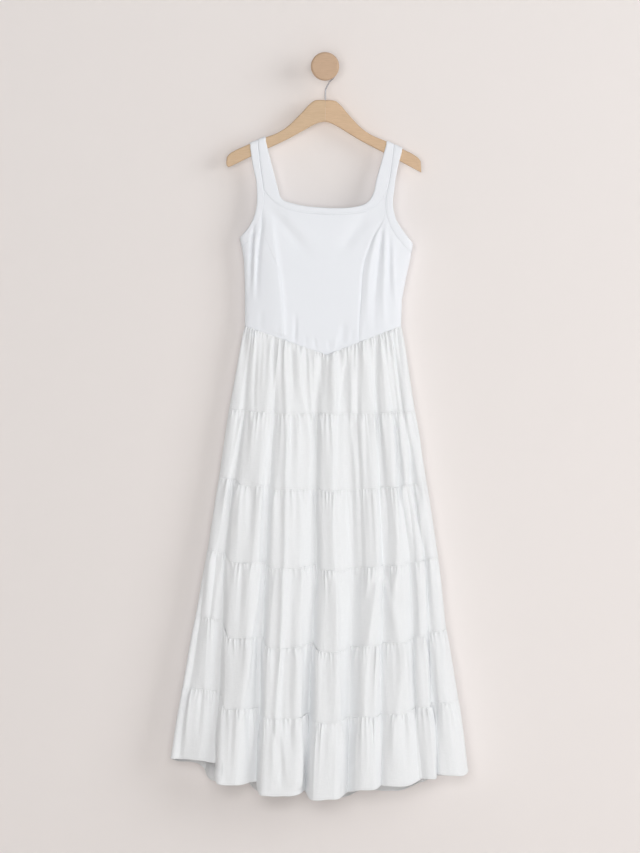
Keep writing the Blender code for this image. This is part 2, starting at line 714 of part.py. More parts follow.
def flat_body(name, outline, thick, edge):
    """A flat board of an outline in x, z with rounded edges, centred on the hanging plane."""
    curve = bpy.data.curves.new(name, "CURVE")
    curve.dimensions = "2D"
    curve.fill_mode = "BOTH"
    curve.extrude = (thick / 2) * MM
    spline = curve.splines.new("POLY")
    spline.points.add(len(outline) - 1)
    for point, (x, z) in zip(spline.points, outline):
        point.co = (x * MM, z * MM, 0.0, 1.0)
    spline.use_cyclic_u = True
    holder = bpy.data.objects.new(name, curve)
    bpy.context.scene.collection.objects.link(holder)
    bpy.context.view_layer.update()
    mesh = bpy.data.meshes.new_from_object(holder)
    bpy.data.objects.remove(holder, do_unlink=True)
    body = bmesh.new()
    body.from_mesh(mesh)
    bmesh.ops.remove_doubles(body, verts=body.verts, dist=1e-6)
    bmesh.ops.dissolve_limit(body, angle_limit=0.001, verts=body.verts, edges=body.edges)
    for vert in body.verts:
        vert.co = (vert.co.x, HANG_Y * MM + vert.co.z, vert.co.y)
    bmesh.ops.recalc_face_normals(body, faces=body.faces)
    body.to_mesh(mesh)
    body.free()
    item = bpy.data.objects.new(name, mesh)
    rounding = item.modifiers.new("rounded edges", "BEVEL")
    rounding.width = edge * MM
    rounding.segments = 2
    rounding.limit_method = "ANGLE"
    rounding.angle_limit = math.radians(60)
    return item


def build_hanger(group, cutters):
    """Two wooden halves, glued at the middle, with a hole for the hook's shank."""
    upper = [tilt(d, h) for d, h in HANGER_UPPER]
    lower = [tilt(d, h) for d, h in HANGER_LOWER]
    upper_left = [tilt(-d, h) for d, h in HANGER_UPPER[1:]]
    lower_left = [tilt(-d, h) for d, h in HANGER_LOWER[1:]]
    outline = upper + lower[::-1] + lower_left + upper_left[::-1]
    for side, finish, sign in (("left", "pale_wood", -1.0), ("right", "warm_wood", 1.0)):
        name = "hanger_half_" + side
        item = flat_body(name, outline, HANGER_THICK, HANGER_EDGE)
        group.objects.link(item)
        item.data.materials.append(make_material(name + "_finish", COLORS[finish], 0.5, 0.0))
        block = bpy.data.meshes.new(name + "_cutter")
        shape = bmesh.new()
        bmesh.ops.create_cube(shape, size=1.0)
        for vert in shape.verts:
            vert.co = (
                (vert.co.x * 400.0 + sign * -200.0 + SHANK_X) * MM,
                (vert.co.y * 100.0 + HANG_Y) * MM,
                (vert.co.z * 400.0 - 150.0) * MM,
            )
        shape.to_mesh(block)
        shape.free()
        cutter = bpy.data.objects.new(name + "_cutter", block)
        cutters.objects.link(cutter)
        hole = bpy.data.meshes.new(name + "_hole")
        shape = bmesh.new()
        bmesh.ops.create_cone(
            shape, cap_ends=True, segments=12, radius1=SHANK_HOLE_RADIUS * MM, radius2=SHANK_HOLE_RADIUS * MM,
            depth=40.0 * MM,
        )
        for vert in shape.verts:
            vert.co.x += SHANK_X * MM
            vert.co.y += HANG_Y * MM
            vert.co.z += (SHANK_HOLE_Z + 20.0) * MM
        shape.to_mesh(hole)
        shape.free()
        drill = bpy.data.objects.new(name + "_hole", hole)
        cutters.objects.link(drill)
        for tool in (cutter, drill):
            tool.display_type = "WIRE"
            cut = item.modifiers.new("cut " + tool.name, "BOOLEAN")
            cut.operation = "DIFFERENCE"
            cut.solver = "EXACT"
            cut.object = tool


def build_hook(group):
    """A steel wire hook: its shank stands in the hanger and its loop lies over the knob's stem."""
    centre_z = KNOB_STEM_RADIUS + WIRE_RADIUS - LOOP_RADIUS * math.cos(math.radians(7.5))
    path = [(SHANK_X, SHANK_HOLE_Z), (SHANK_X, -53.0), (1.5, -47.5), (3.6, -42.4), (6.4, -37.4), (9.8, -31.6)]
    for step in range(18):
        turn = math.radians(-52.5 + 15.0 * step)
        path.append((LOOP_RADIUS * math.cos(turn), centre_z + LOOP_RADIUS * math.sin(turn)))
    curve = bpy.data.curves.new("hanger_hook", "CURVE")
    curve.dimensions = "3D"
    curve.bevel_depth = WIRE_RADIUS * MM
    curve.bevel_resolution = 2
    curve.use_fill_caps = True
    spline = curve.splines.new("POLY")
    spline.points.add(len(path) - 1)
    for point, (x, z) in zip(spline.points, path):
        point.co = (x * MM, HANG_Y * MM, z * MM, 1.0)
    item = bpy.data.objects.new("hanger_hook", curve)
    group.objects.link(item)
    weld = item.modifiers.new("weld", "WELD")
    weld.merge_threshold = 1e-6
    curve.materials.append(make_material("hanger_hook_finish", COLORS["steel"], 0.25, 1.0))


def build_knob(group):
    """A turned wooden knob: a round disc with softened edges on a stem that stands on the wall."""
    front, back, r = KNOB_FRONT_Y, KNOB_BACK_Y, KNOB_RADIUS
    profile = [
        (0.0, front), (r - 6.0, front), (r - 3.0, front + 0.8), (r - 0.9, front + 3.0), (r, front + 6.0),
        (r, back - 4.0), (r - 1.2, back - 1.2), (r - 4.0, back), (KNOB_STEM_RADIUS, back),
        (KNOB_STEM_RADIUS, 0.0), (0.0, 0.0),
    ]
    mesh = bpy.data.meshes.new("wall_knob")
    mesh.from_pydata([(x * MM, y * MM, 0.0) for x, y in profile], [(i, i + 1) for i in range(len(profile) - 1)], [])
    item = add_object("wall_knob", mesh, group, "knob_wood", 0.5)
    turn = item.modifiers.new("turned", "SCREW")
    turn.axis = "Y"
    turn.angle = 2 * math.pi
    turn.steps = 28
    turn.render_steps = 28
    turn.use_merge_vertices = True
    turn.merge_threshold = 0.00001
    turn.use_normal_calculate = True


def main():
    clear_scene()
    group = make_collection("hung_tiered_dress")
    cutters = make_collection("cutters", hidden=True)
    build_knob(group)
    build_hook(group)
    build_hanger(group, cutters)
    build_bodice(group)
    build_bands(group)
    build_skirt(group)


main()
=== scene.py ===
import logging
import math
from dataclasses import dataclass
from enum import Enum
from typing import Callable, Sequence

import bmesh
import bpy
import numpy as np
from bpy.types import Material, Mesh, Node, NodeSocket, NodeTree, Object
from mathutils import Matrix, Vector

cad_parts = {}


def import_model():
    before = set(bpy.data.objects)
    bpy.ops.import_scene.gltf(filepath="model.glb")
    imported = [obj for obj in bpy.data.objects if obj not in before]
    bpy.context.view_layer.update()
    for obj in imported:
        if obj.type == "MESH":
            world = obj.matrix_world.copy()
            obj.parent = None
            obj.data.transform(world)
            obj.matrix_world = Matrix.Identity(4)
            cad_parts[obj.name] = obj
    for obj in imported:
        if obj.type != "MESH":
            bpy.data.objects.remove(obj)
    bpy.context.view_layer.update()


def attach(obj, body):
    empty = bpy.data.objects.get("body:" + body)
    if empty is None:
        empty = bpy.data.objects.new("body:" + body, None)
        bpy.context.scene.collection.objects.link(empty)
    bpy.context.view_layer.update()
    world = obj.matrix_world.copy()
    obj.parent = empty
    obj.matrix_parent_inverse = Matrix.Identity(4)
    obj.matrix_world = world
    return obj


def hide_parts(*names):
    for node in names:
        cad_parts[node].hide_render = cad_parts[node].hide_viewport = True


LOG = logging.getLogger("tiered_dress")

MM = 0.001

Array = np.ndarray
# A place in metres or a colour
Triple = tuple[float, float, float]


@dataclass(frozen=True)
class LongFold:
    """A fold that runs down the cloth through places of x, z and height outward."""

    left_width: float
    right_width: float
    places: tuple[Triple, ...]

    def at(self, x: Array, z: Array) -> Array:
        """Height of the fold at places of the cloth.

        Args:
            x: Places across.
            z: Heights, of the same shape.

        Returns:
            The height outward at each place.
        """
        table = np.array(self.places, dtype=float)
        down = -table[:, 1]
        slopes = np.gradient(table[:, [0, 2]], down, axis=0)
        flat = np.clip(-np.asarray(z, dtype=float).ravel(), down[0], down[-1])
        cell = np.clip(np.searchsorted(down, flat, side="right") - 1, 0, len(down) - 2)
        span = down[cell + 1] - down[cell]
        line = hermite(table[:, [0, 2]], slopes, cell, (flat - down[cell]) / span, span)
        middle_x, height = line.T.reshape(2, *np.shape(z))
        inside = (-z >= down[0]) & (-z <= down[-1])
        away = x - middle_x
        width = np.where(away < 0, self.left_width, self.right_width)
        return np.where(inside, height, 0.0) * np.exp(-((away / width) ** 2))


@dataclass(frozen=True)
class Tier:
    """How a tier of the skirt puffs and gathers, and its flat cut in metres."""

    puff: float
    full_at: float
    gather_height: float
    gathers_in_100: float
    seed: int
    cut: tuple[float, float]


# Every length in the tables is in millimetres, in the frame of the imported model.

# Bodice widths: height z, left side x, right side x
BODICE_WIDTHS = (
    (-360.4, -180.2, 188),
    (-373.1, -177.4, 185.9),
    (-407, -171.7, 180.2),
    (-449.4, -169.6, 170.7),
    (-494, -169, 162.2),
    (-544.8, -169, 160.5),
)

# Straps, top to bottom: armhole edge x, z, shared seam x, z, neck edge x, z
STRAP_LEFT = (
    (-159, -171.7, -141.9, -163.6, -125.1, -156.8),
    (-153, -210, -137, -208, -112.8, -206),
    (-146.5, -240, -132.7, -240, -103.9, -240),
    (-144.7, -261, -129.6, -261, -98.5, -261),
)
STRAP_RIGHT = (
    (163.3, -180, 145.6, -171.4, 129.6, -164),
    (155.4, -210, 141.4, -208, 117.7, -206),
    (149.6, -240, 136.5, -240, 108.1, -240),
    (147.2, -261, 131.8, -261, 104.3, -261),
)

# Front neck band between the straps, left to right: edge x, z, seam x, z
NECK = (
    (-98.5, -261, -129.6, -261),
    (-94.5, -274.5, -117.5, -276.5),
    (-86.5, -282.8, -101, -290.5),
    (-72.1, -287.8, -82, -300.5),
    (-52, -292.6, -56, -307.5),
    (-28.4, -296, -30, -311),
    (14.8, -298.9, 14.8, -313.8),
    (55, -297.4, 56, -312),
    (78.4, -292.6, 84, -306.5),
    (89.5, -286.5, 101.5, -298),
    (97.5, -277, 117, -285),
    (104.3, -261, 131.8, -261),
)

# Armholes below the strap, down to the side: edge x, z, seam x, z
ARMHOLE_LEFT = (
    (-144.7, -261, -129.6, -261),
    (-144.6, -283, -129.6, -284),
    (-146.3, -300, -132.6, -307),
    (-152.6, -322.2, -140.5, -333),
    (-163.2, -341.3, -155, -359),
    (-180.2, -360.4, -176.6, -381.6),
)
ARMHOLE_RIGHT = (
    (147.2, -261, 131.8, -261),
    (144.4, -281, 128.8, -285),
    (145.4, -302, 129.4, -307),
    (152, -325, 139, -338),
    (166, -347, 158, -367),
    (185.9, -373.1, 182.3, -394.3),
)

# Princess seams from the armhole bands down to the waist: x, z
PRINCESS_LEFT = (
    (-132.6, -307), (-132.4, -343.4), (-116.6, -388), (-97.5, -433.5),
    (-91.2, -483.4), (-89, -544.8), (-87.8, -578.3),
)
PRINCESS_RIGHT = (
    (129.4, -307), (122, -329.1), (103.9, -358.8), (88, -394.2),
    (79.5, -436.7), (76.3, -494), (72.5, -541.7), (72.1, -583.6),
)

# Soft folds of the bodice: start x, start z, end x, end z, depth inward, half width
BODICE_FOLDS_FRONT = (
    (-118, -300, -30, -405, 3.2, 13), (-88, -312, -20, -372, -1.6, 12), (88, -318, 26, -398, 3, 13),
    (40, -545, 36, -592, 2, 8),
)
BODICE_FOLDS_BACK = (
    (112, -318, 40, -420, 3, 14), (-104, -322, -34, -412, 3.2, 13), (136, -356, 132, -470, 3, 9),
    (-140, -362, -138, -486, 3.2, 8), (30, -520, 34, -590, 2.2, 9), (-58, -532, -52, -588, 2.4, 9),
)

# Finer creases of the bodice, in the same columns
BODICE_CREASES_FRONT = (
    (-160, -392, -128, -420, 0.8, 5), (158, -404, 118, -436, 0.8, 6), (-98, -548, -104, -596, 0.9, 4.5),
    (-40, -572, -41, -604, 0.9, 4), (8, -582, 10, -612, 0.9, 4), (22, -574, 20, -606, -0.8, 4),
    (58, -560, 56, -590, 0.9, 4.5), (-134, -520, -136, -566, 1, 5), (104, -520, 106, -572, 1, 5),
    (138, -508, 138, -560, 0.9, 5),
)
BODICE_CREASES_BACK = (
    (-150, -400, -116, -432, 0.9, 6), (152, -412, 112, -444, 0.9, 6), (-92, -546, -96, -592, 0.9, 4.5),
    (-16, -566, -14, -608, 0.9, 4.5), (64, -556, 60, -592, 0.9, 4.5), (110, -524, 114, -572, 1, 5),
    (-128, -522, -130, -566, 1, 5),
)

# Skirt seams: side z, drop at the centre, left x, right x, middle y, half depth, fold size
SEAMS = (
    (-549.1, 61.5, -169, 160.5, -36, 15, 0),
    (-725, 10.6, -202.5, 189.7, -38, 18, 4.5),
    (-869.2, 29.7, -223.7, 214.1, -42, 21, 6.5),
    (-1024, 42.4, -248, 238.5, -48, 24, 9.5),
    (-1163.9, 74.2, -273.5, 255, -54, 26, 13),
    (-1314.4, 72.1, -301, 281, -61, 28, 17.5),
    (-1464.1, 86.9, -324.4, 300.5, -68, 30, 22),
)

# How far from a gathered seam its small ups and downs reach
PUCKER_REACH = 9.0

# Main folds, left to right: x at the waist, the third seam and the hem, height at the same three,
# and the share of the seam's drop
FOLDS_FRONT = (
    (-160, -233, -279.8, 0.3, 0.3, 0.1, 0.02),
    (-150, -212, -229, -0.6, -0.6, -0.5, 0.10),
    (-118, -154.8, -190.8, 0.7, 0.9, 0.7, 0.62),
    (-100, -125.1, -142, -0.6, -0.8, -0.9, 0.56),
    (-87.8, -84.8, -93.3, 0.9, 1, 0.9, 0.88),
    (-25, -19.1, -40.3, -0.9, -1, -1, 0.72),
    (3.4, 21.2, 15.9, 0.7, 0.9, 1, 1.00),
    (42, 59, 47, -0.6, -0.8, -0.6, 0.84),
    (72.1, 108.1, 95.4, 0.6, 0.9, 0.8, 0.84),
    (98, 122, 118, -0.9, -0.4, 0, 0.72),
    (112, 155.8, 161.1, 0.7, 0.7, 0.7, 0.74),
    (125, 180.2, 201, -0.5, -0.5, -0.4, 0.56),
    (135, 195, 229, 0.5, 0.5, 0.4, 0.56),
    (143, 209.9, 233, -0.4, -0.4, -0.3, 0.44),
    (152, 224.7, 274.5, 0.3, 0.4, 0.4, 0.42),
)
FOLDS_BACK = (
    (-158, -231.1, -288.3, 0.3, 0.4, 0.4, 0.10),
    (-142, -208, -252.5, -0.4, -0.5, -0.6, 0.26),
    (-117, -176.2, -209.9, 0.6, 0.8, 0.7, 0.58),
    (-87.8, -133.6, -161, -0.5, -0.6, -0.8, 0.60),
    (-53, -86.9, -103.9, 0.8, 0.9, 1, 0.86),
    (-19.1, -38, -48.5, -0.7, -0.8, -0.9, 0.76),
    (3.4, 17.1, 14.8, 0.6, 0.7, 0.8, 1.00),
    (40, 68, 76.4, -0.5, -0.7, -0.8, 0.76),
    (72.1, 121.1, 142.3, 0.7, 0.8, 0.9, 0.82),
    (112, 171.7, 205.6, -0.5, -0.6, -0.8, 0.58),
    (141, 211.9, 256.5, 0.4, 0.5, 0.5, 0.44),
)

# How far the front hem lies above the line of the folds: place x, height
HEM_LIFT_FRONT = (
    (-40, 0), (0, 3), (45, 3), (75, 9), (165, 8), (229, 8), (262, 2), (290, 0),
)

# Creases of the skirt: start level, start x, end level, end x, height outward, half width
SKIRT_CREASES_FRONT = (
    (0, -128, 0.8, -134, 1.8, 4.5), (0, -108, 0.5, -112, -1.8, 4), (0, -72, 0.8, -66, -2.4, 5),
    (0, -40, 0.5, -38, -2.2, 4), (0, -8, 0.6, -6, -2, 4), (0, 8, 0.5, 7, -2, 4),
    (0, 40, 0.5, 34, 2.4, 4), (0, 146, 0.9, 160, -2.4, 5), (1, -60, 1.7, -58, 1.8, 5),
    (1, -74, 1.9, -70, -1.8, 5), (1, -98, 1.8, -104, -1.6, 5), (1, -150, 1.8, -158, 1.6, 6),
    (1, 2, 1.6, 3, 1.6, 4), (1, 84, 2, 88, -2, 5), (2, -64, 2.8, -62, -2, 6), (2, 42, 2.9, 44, 2.4, 5),
    (2, 58, 2.7, 60, -2, 5), (2, -178, 2.9, -186, 2.6, 7), (2, -156, 2.8, -160, -1.8, 6),
    (2.1, 130, 2.8, 134, -1.8, 5), (3.05, 117, 3.9, 93, 3.2, 6), (3.05, 119, 4, 168, 3.4, 6),
    (3.1, 116, 3.7, 122, -3, 6), (3.1, 108, 3.6, 78, -2.2, 5), (3.1, 132, 3.8, 154, -2.6, 5),
    (3, -176, 4, -182, -2.2, 8), (3, -70, 3.9, -74, -2.4, 7), (3, -52, 3.7, -54, 1.8, 6),
    (3, 40, 3.8, 36, -1.8, 6), (3, 176, 3.8, 182, -2.4, 5), (3, -236, 3.9, -254, 2.2, 8),
    (4, 128, 4.7, 136, -2.2, 6), (4, 162, 4.9, 178, 2.6, 7), (4, -206, 5, -214, -2.2, 8),
    (4, -166, 4.9, -164, 2.8, 6), (4, -60, 4.8, -62, 2.4, 6), (4, 10, 4.7, 12, 1.8, 6),
    (4, 84, 4.7, 80, 2.2, 6), (4, -272, 4.8, -284, -2.4, 9), (5, -286, 5.9, -300, 2.6, 9),
    (5, -262, 5.7, -268, -2.4, 7), (5, -196, 5.8, -200, -2.4, 7), (5, -172, 5.9, -176, 2.8, 7),
    (5, -112, 5.6, -98, -3, 6), (5, -96, 5.8, -78, 2.8, 6), (5, -72, 5.7, -64, -2.6, 6),
    (5, 4, 5.6, -2, -2, 6), (5, 24, 5.8, 34, -2.4, 6), (5, 86, 5.6, 84, -2.2, 6),
    (5, 104, 5.9, 112, -2.6, 6), (5, 150, 5.6, 142, 2.8, 6), (5, 166, 5.9, 174, -2.8, 6),
    (5, 216, 5.8, 232, 2.8, 6), (5, 236, 5.7, 250, -2.6, 6), (5, 258, 5.9, 276, 2.4, 6),
)
SKIRT_CREASES_BACK = (
    (0, -136, 1, -160, 2.4, 6), (0, -70, 0.8, -80, 2.4, 5.5), (0, -40, 0.6, -44, -2.4, 4.5),
    (0, 22, 0.9, 30, 2.6, 6), (0, 56, 0.9, 66, -2.6, 5), (0, 128, 1, 148, -2.2, 6),
    (1, -146, 2, -158, -2.2, 7), (1, -26, 2.1, -30, 2.4, 6), (1, 48, 1.8, 52, -2, 6),
    (1, 100, 2, 110, -2.4, 7), (2, -196, 3, -214, 2.4, 7), (2, -60, 3, -64, 2.4, 7),
    (2, 40, 3, 44, 2.4, 7), (2, 150, 3, 158, 2.6, 7), (3, -206, 4, -222, 2.8, 8),
    (3.05, -98, 4, -120, 3, 6), (3.05, -96, 3.8, -78, 3, 6), (3.1, -97, 3.7, -98, -2.6, 6),
    (3, 62, 3.9, 70, 2.4, 7), (3, 146, 4, 162, -2.6, 8), (4, -184, 4.9, -192, 2.8, 8),
    (4, -130, 5, -136, -2.6, 8), (4, 0, 5, -2, 2.8, 8), (4, 54, 4.8, 62, -2.4, 7),
    (4, 182, 4.9, 196, 2.8, 8), (5, -222, 6, -234, -2.8, 8), (5, -186, 5.7, -188, 2.4, 7),
    (5, -26, 6, -24, 2.6, 7), (5, 34, 5.8, 40, -2.6, 7), (5, 140, 6, 146, 2.8, 8),
    (5, 170, 5.9, 176, -2.8, 8), (5, 246, 6, 262, 2.8, 8),
)

# Folds that run down the front of the skirt, left to right
SKIRT_LONG_FRONT = (
    LongFold(8, 6, (
        (-159, -558, 0), (-163, -589, -3), (-173, -712, -2.5), (-191, -844, -2), (-212, -931, -2.5),
        (-237, -1107, -4), (-246, -1215, -2), (-250, -1300, 0),
    )),
    LongFold(4, 4, (
        (-144, -570, 0), (-146, -621, -2.2), (-150, -706, -1.8), (-146, -770, 0),
    )),
    LongFold(20, 6, (
        (-93, -579, 0), (-98, -615, 2.9), (-117, -725, 4.3), (-138, -886, 5), (-150, -1149, 5),
        (-163, -1236, 4.3), (-176, -1353, 3.6), (-184, -1427, 1.4), (-189, -1490, 0),
    )),
    LongFold(7, 6, (
        (-83, -568, 0), (-85, -611, 2.9), (-81, -725, 4.3), (-83, -886, 4.3), (-87, -1107, 4.3),
        (-93, -1215, 5), (-102, -1342, 4.3), (-108, -1427, 2.9), (-112, -1501, 0),
    )),
    LongFold(9, 5, (
        (-53, -589, 0), (-55, -615, 2.2), (-41, -742, 2.9), (-32, -799, 2.9), (-36, -886, 2.2),
        (-40, -960, 0),
    )),
    LongFold(5, 5, (
        (-36, -604, 0), (-34, -642, 2.2), (-30, -706, 2.2), (-28, -770, 0),
    )),
    LongFold(6, 8, (
        (-15, -600, 0), (-13, -623, -3), (-17, -725, -3), (-21, -886, -2.5), (-21, -1062, -2),
        (-28, -1172, 0),
    )),
    LongFold(12, 5, (
        (19, -589, 0), (20, -615, 2.9), (17, -799, 3.6), (15, -931, 4.3), (19, -1045, 4.3),
        (24, -1149, 5), (25, -1236, 4.3), (28, -1342, 3.6), (32, -1427, 2.9), (32, -1512, 0),
    )),
    LongFold(5, 8, (
        (49, -600, 0), (47, -623, -2.9), (36, -674, -3.6), (30, -734, -2.9), (26, -844, -2.2),
        (28, -960, 0),
    )),
    LongFold(6, 5, (
        (57, -625, 0), (57, -674, 2.9), (57, -778, 2.9), (64, -844, 2.2), (66, -918, 0),
    )),
    LongFold(5, 6, (
        (68, -632, 0), (68, -674, -2.9), (72, -844, -3.6), (76, -975, -3.6), (78, -1083, -2.2),
        (78, -1151, 0),
    )),
    LongFold(10, 6, (
        (87, -574, 0), (88, -600, 2.9), (95, -674, 4.3), (102, -734, 4.3), (108, -886, 4.3),
        (112, -1018, 3.6), (100, -1130, 2.2), (91, -1236, 3.6), (83, -1342, 2.9), (87, -1427, 2.9),
        (87, -1501, 0),
    )),
    LongFold(5, 6, (
        (108, -558, 0), (108, -583, -4.3), (108, -674, -4.3), (110, -727, -2.9), (119, -812, -2.2),
        (125, -886, -1.4), (127, -960, 0),
    )),
    LongFold(9, 7, (
        (123, -589, 0), (125, -617, 3.6), (129, -674, 3.6), (134, -734, 3.6), (144, -886, 4.3),
        (152, -1062, 4.3), (142, -1130, 2.9), (155, -1215, 2.9), (159, -1300, 2.9), (150, -1384, 1.4),
        (150, -1427, 2.2), (150, -1490, 0),
    )),
    LongFold(5, 5, (
        (146, -600, 0), (146, -653, -2.2), (152, -725, -3.6), (156, -878, -2.9), (159, -982, -2.2),
        (168, -1045, 0),
    )),
    LongFold(7, 5, (
        (165, -579, 0), (165, -632, 2.2), (172, -725, 3.6), (172, -844, 2.9), (165, -931, 1.4),
        (163, -982, 0),
    )),
    LongFold(5, 6, (
        (182, -791, 0), (182, -833, -3), (182, -910, -3.5), (187, -1041, -3.5), (191, -1130, -3),
        (195, -1215, 0),
    )),
    LongFold(7, 5, (
        (197, -706, 0), (199, -844, 2.9), (204, -899, 3.6), (204, -1041, 3.6), (210, -1130, 3.6),
        (223, -1215, 2.2), (227, -1278, 0),
    )),
    LongFold(5, 6, (
        (212, -1045, 0), (214, -1109, -2.5), (218, -1194, 0),
    )),
    LongFold(8, 6, (
        (168, -600, 0), (180, -727, 2.2), (197, -844, 1.4), (218, -975, 2.9), (242, -1149, 3.6),
        (250, -1278, 3.6), (259, -1384, 2.9), (265, -1480, 0),
    )),
    LongFold(20, 70, (
        (-265, -1045, 0), (-276, -1130, -6), (-286, -1215, -10), (-299, -1342, -14), (-310, -1486, -16),
    )),
    LongFold(5, 10, (
        (-218, -1151, 0), (-223, -1225, 2), (-227, -1342, 3), (-226, -1427, 3.5), (-226, -1520, 3.5),
    )),
    LongFold(8, 7, (
        (-70, -1130, 0), (-72, -1215, -2.2), (-76, -1321, -2.9), (-74, -1384, -1.4), (-72, -1448, 0),
    )),
    LongFold(9, 9, (
        (131, -1194, 0), (131, -1300, 3), (131, -1384, 4), (131, -1533, 4),
    )),
    LongFold(9, 9, (
        (199, -1151, 0), (199, -1257, 5), (200, -1384, 7), (200, -1524, 7),
    )),
    LongFold(8, 8, (
        (231, -1130, 0), (237, -1257, 3), (244, -1384, 5), (247, -1516, 5),
    )),
    LongFold(16, 5, (
        (-53, -1109, 0), (-53, -1215, 4), (-55, -1342, 6), (-57, -1522, 6),
    )),
    LongFold(5, 7, (
        (-83, -1130, 0), (-87, -1236, -2.5), (-91, -1342, -3), (-93, -1512, -3),
    )),
)

# Folds that run down the back of the skirt
SKIRT_LONG_BACK = (
    LongFold(8, 7, (
        (-159, -562, 0), (-168, -621, -3.4), (-180, -727, -4.2), (-197, -854, -4.2), (-210, -1003, -3.4),
        (-223, -1130, -4.2), (-233, -1257, -3.4), (-240, -1384, 0),
    )),
    LongFold(11, 6, (
        (-134, -574, 0), (-140, -632, 3.4), (-150, -727, 4.2), (-165, -876, 5.1), (-178, -1045, 5.1),
        (-187, -1215, 5.1), (-197, -1342, 3.4), (-201, -1469, 0),
    )),
    LongFold(5, 7, (
        (-112, -574, 0), (-117, -625, -3.4), (-125, -748, -4.2), (-134, -918, -4.2), (-140, -1088, -3.4),
        (-146, -1215, 0),
    )),
    LongFold(7, 6, (
        (-89, -579, 0), (-91, -621, 3.4), (-93, -727, 4.2), (-100, -854, 4.2), (-104, -1045, 5.1),
        (-108, -1236, 4.2), (-117, -1384, 3.4), (-121, -1490, 0),
    )),
    LongFold(8, 5, (
        (-62, -589, 0), (-59, -632, 2.5), (-53, -748, 3.4), (-49, -854, 2.5), (-47, -960, 0),
    )),
    LongFold(6, 8, (
        (-28, -600, 0), (-25, -642, -3.4), (-30, -770, -5.1), (-32, -918, -5.1), (-38, -1109, -4.2),
        (-42, -1257, -2.5), (-47, -1384, 0),
    )),
    LongFold(12, 6, (
        (4, -604, 0), (6, -642, 3.4), (8, -791, 4.2), (11, -960, 5.1), (15, -1130, 5.1), (17, -1300, 5.1),
        (19, -1427, 3.4), (21, -1522, 0),
    )),
    LongFold(6, 7, (
        (36, -600, 0), (38, -634, -3.4), (44, -748, -4.2), (51, -876, -3.4), (57, -1003, 0),
    )),
    LongFold(8, 5, (
        (59, -589, 0), (66, -642, 3.4), (76, -770, 4.2), (87, -918, 4.2), (95, -1045, 3.4),
        (104, -1172, 0),
    )),
    LongFold(5, 7, (
        (91, -574, 0), (98, -621, -4.2), (108, -748, -4.2), (117, -897, -3.4), (125, -1045, -3.4),
        (129, -1172, 0),
    )),
    LongFold(10, 6, (
        (117, -574, 0), (125, -632, 3.4), (140, -770, 4.2), (155, -918, 5.1), (168, -1088, 4.2),
        (180, -1257, 4.2), (189, -1406, 2.5), (193, -1490, 0),
    )),
    LongFold(6, 6, (
        (146, -574, 0), (155, -642, -3.4), (170, -791, -3.4), (182, -918, -2.5), (193, -1045, 0),
    )),
    LongFold(8, 6, (
        (163, -589, 0), (176, -706, 2.5), (193, -833, 2.5), (214, -982, 3.4), (235, -1151, 4.2),
        (250, -1321, 3.4), (263, -1469, 0),
    )),
    LongFold(14, 8, (
        (-274, -1130, 0), (-280, -1236, 3.4), (-290, -1342, 5.1), (-295, -1469, 4.2),
    )),
    LongFold(8, 7, (
        (-78, -1109, 0), (-81, -1215, -3.4), (-85, -1342, -4.2), (-87, -1448, -2.5), (-87, -1512, 0),
    )),
    LongFold(8, 8, (
        (100, -1130, 0), (108, -1236, -3.4), (117, -1363, -4.2), (121, -1469, -2.5), (123, -1522, 0),
    )),
)

# Folds that run down the front of the bodice
BODICE_LONG_FRONT = (
    LongFold(4, 4, (
        (-150, -329, 0), (-153, -356, -3.5), (-157, -426, -3.5), (-159, -477, 0),
    )),
    LongFold(4, 5, (
        (-134, -297, 0), (-134, -335, -3), (-140, -388, -3.5), (-144, -462, -2), (-144, -498, 0),
    )),
    LongFold(3, 3, (
        (-146, -337, 0), (-148, -371, 2), (-150, -441, 2), (-153, -494, 0),
    )),
    LongFold(40, 7, (
        (-117, -307, 0), (-110, -367, 4), (-102, -430, 5), (-95, -494, 5), (-91, -568, 3.5),
    )),
    LongFold(4, 3, (
        (123, -320, 0), (104, -360, -1.6), (87, -403, -1.8), (76, -494, -1.8), (72, -589, -1),
    )),
    LongFold(4, 6, (
        (114, -335, 0), (106, -367, 2.5), (95, -420, 3), (89, -494, 2.5), (87, -558, 0),
    )),
    LongFold(4, 4, (
        (121, -341, 0), (119, -367, -3), (112, -430, -4), (106, -494, -3), (106, -553, 0),
    )),
    LongFold(4, 5, (
        (129, -329, 0), (127, -367, 3.5), (125, -430, 3.5), (123, -494, 3), (125, -558, 0),
    )),
    LongFold(3, 4, (
        (136, -350, 0), (136, -388, -2), (136, -441, -2.5), (138, -494, 0),
    )),
    LongFold(4, 5, (
        (144, -358, 0), (144, -399, 2.5), (146, -462, 2.5), (150, -519, 0),
    )),
    LongFold(5, 4, (
        (-62, -519, 0), (-62, -547, -2.5), (-64, -583, -3), (-64, -600, -2),
    )),
    LongFold(3.5, 3.5, (
        (-23, -568, 0), (-21, -589, -1.8), (-19, -608, -1.5),
    )),
)

# Folds that run down the back of the bodice
BODICE_LONG_BACK = (
    LongFold(4, 5, (
        (-146, -333, 0), (-148, -377, -3), (-153, -462, -3), (-155, -505, 0),
    )),
    LongFold(36, 8, (
        (-121, -312, 0), (-112, -367, 3), (-104, -441, 4), (-93, -515, 4), (-89, -568, 2.5),
    )),
    LongFold(5, 4, (
        (125, -329, 0), (112, -377, -3), (104, -462, -3.5), (100, -536, 0),
    )),
    LongFold(4, 6, (
        (142, -341, 0), (138, -388, 3), (134, -473, 3), (134, -541, 0),
    )),
    LongFold(5, 5, (
        (42, -532, 0), (44, -562, -2.5), (47, -589, -2),
    )),
)

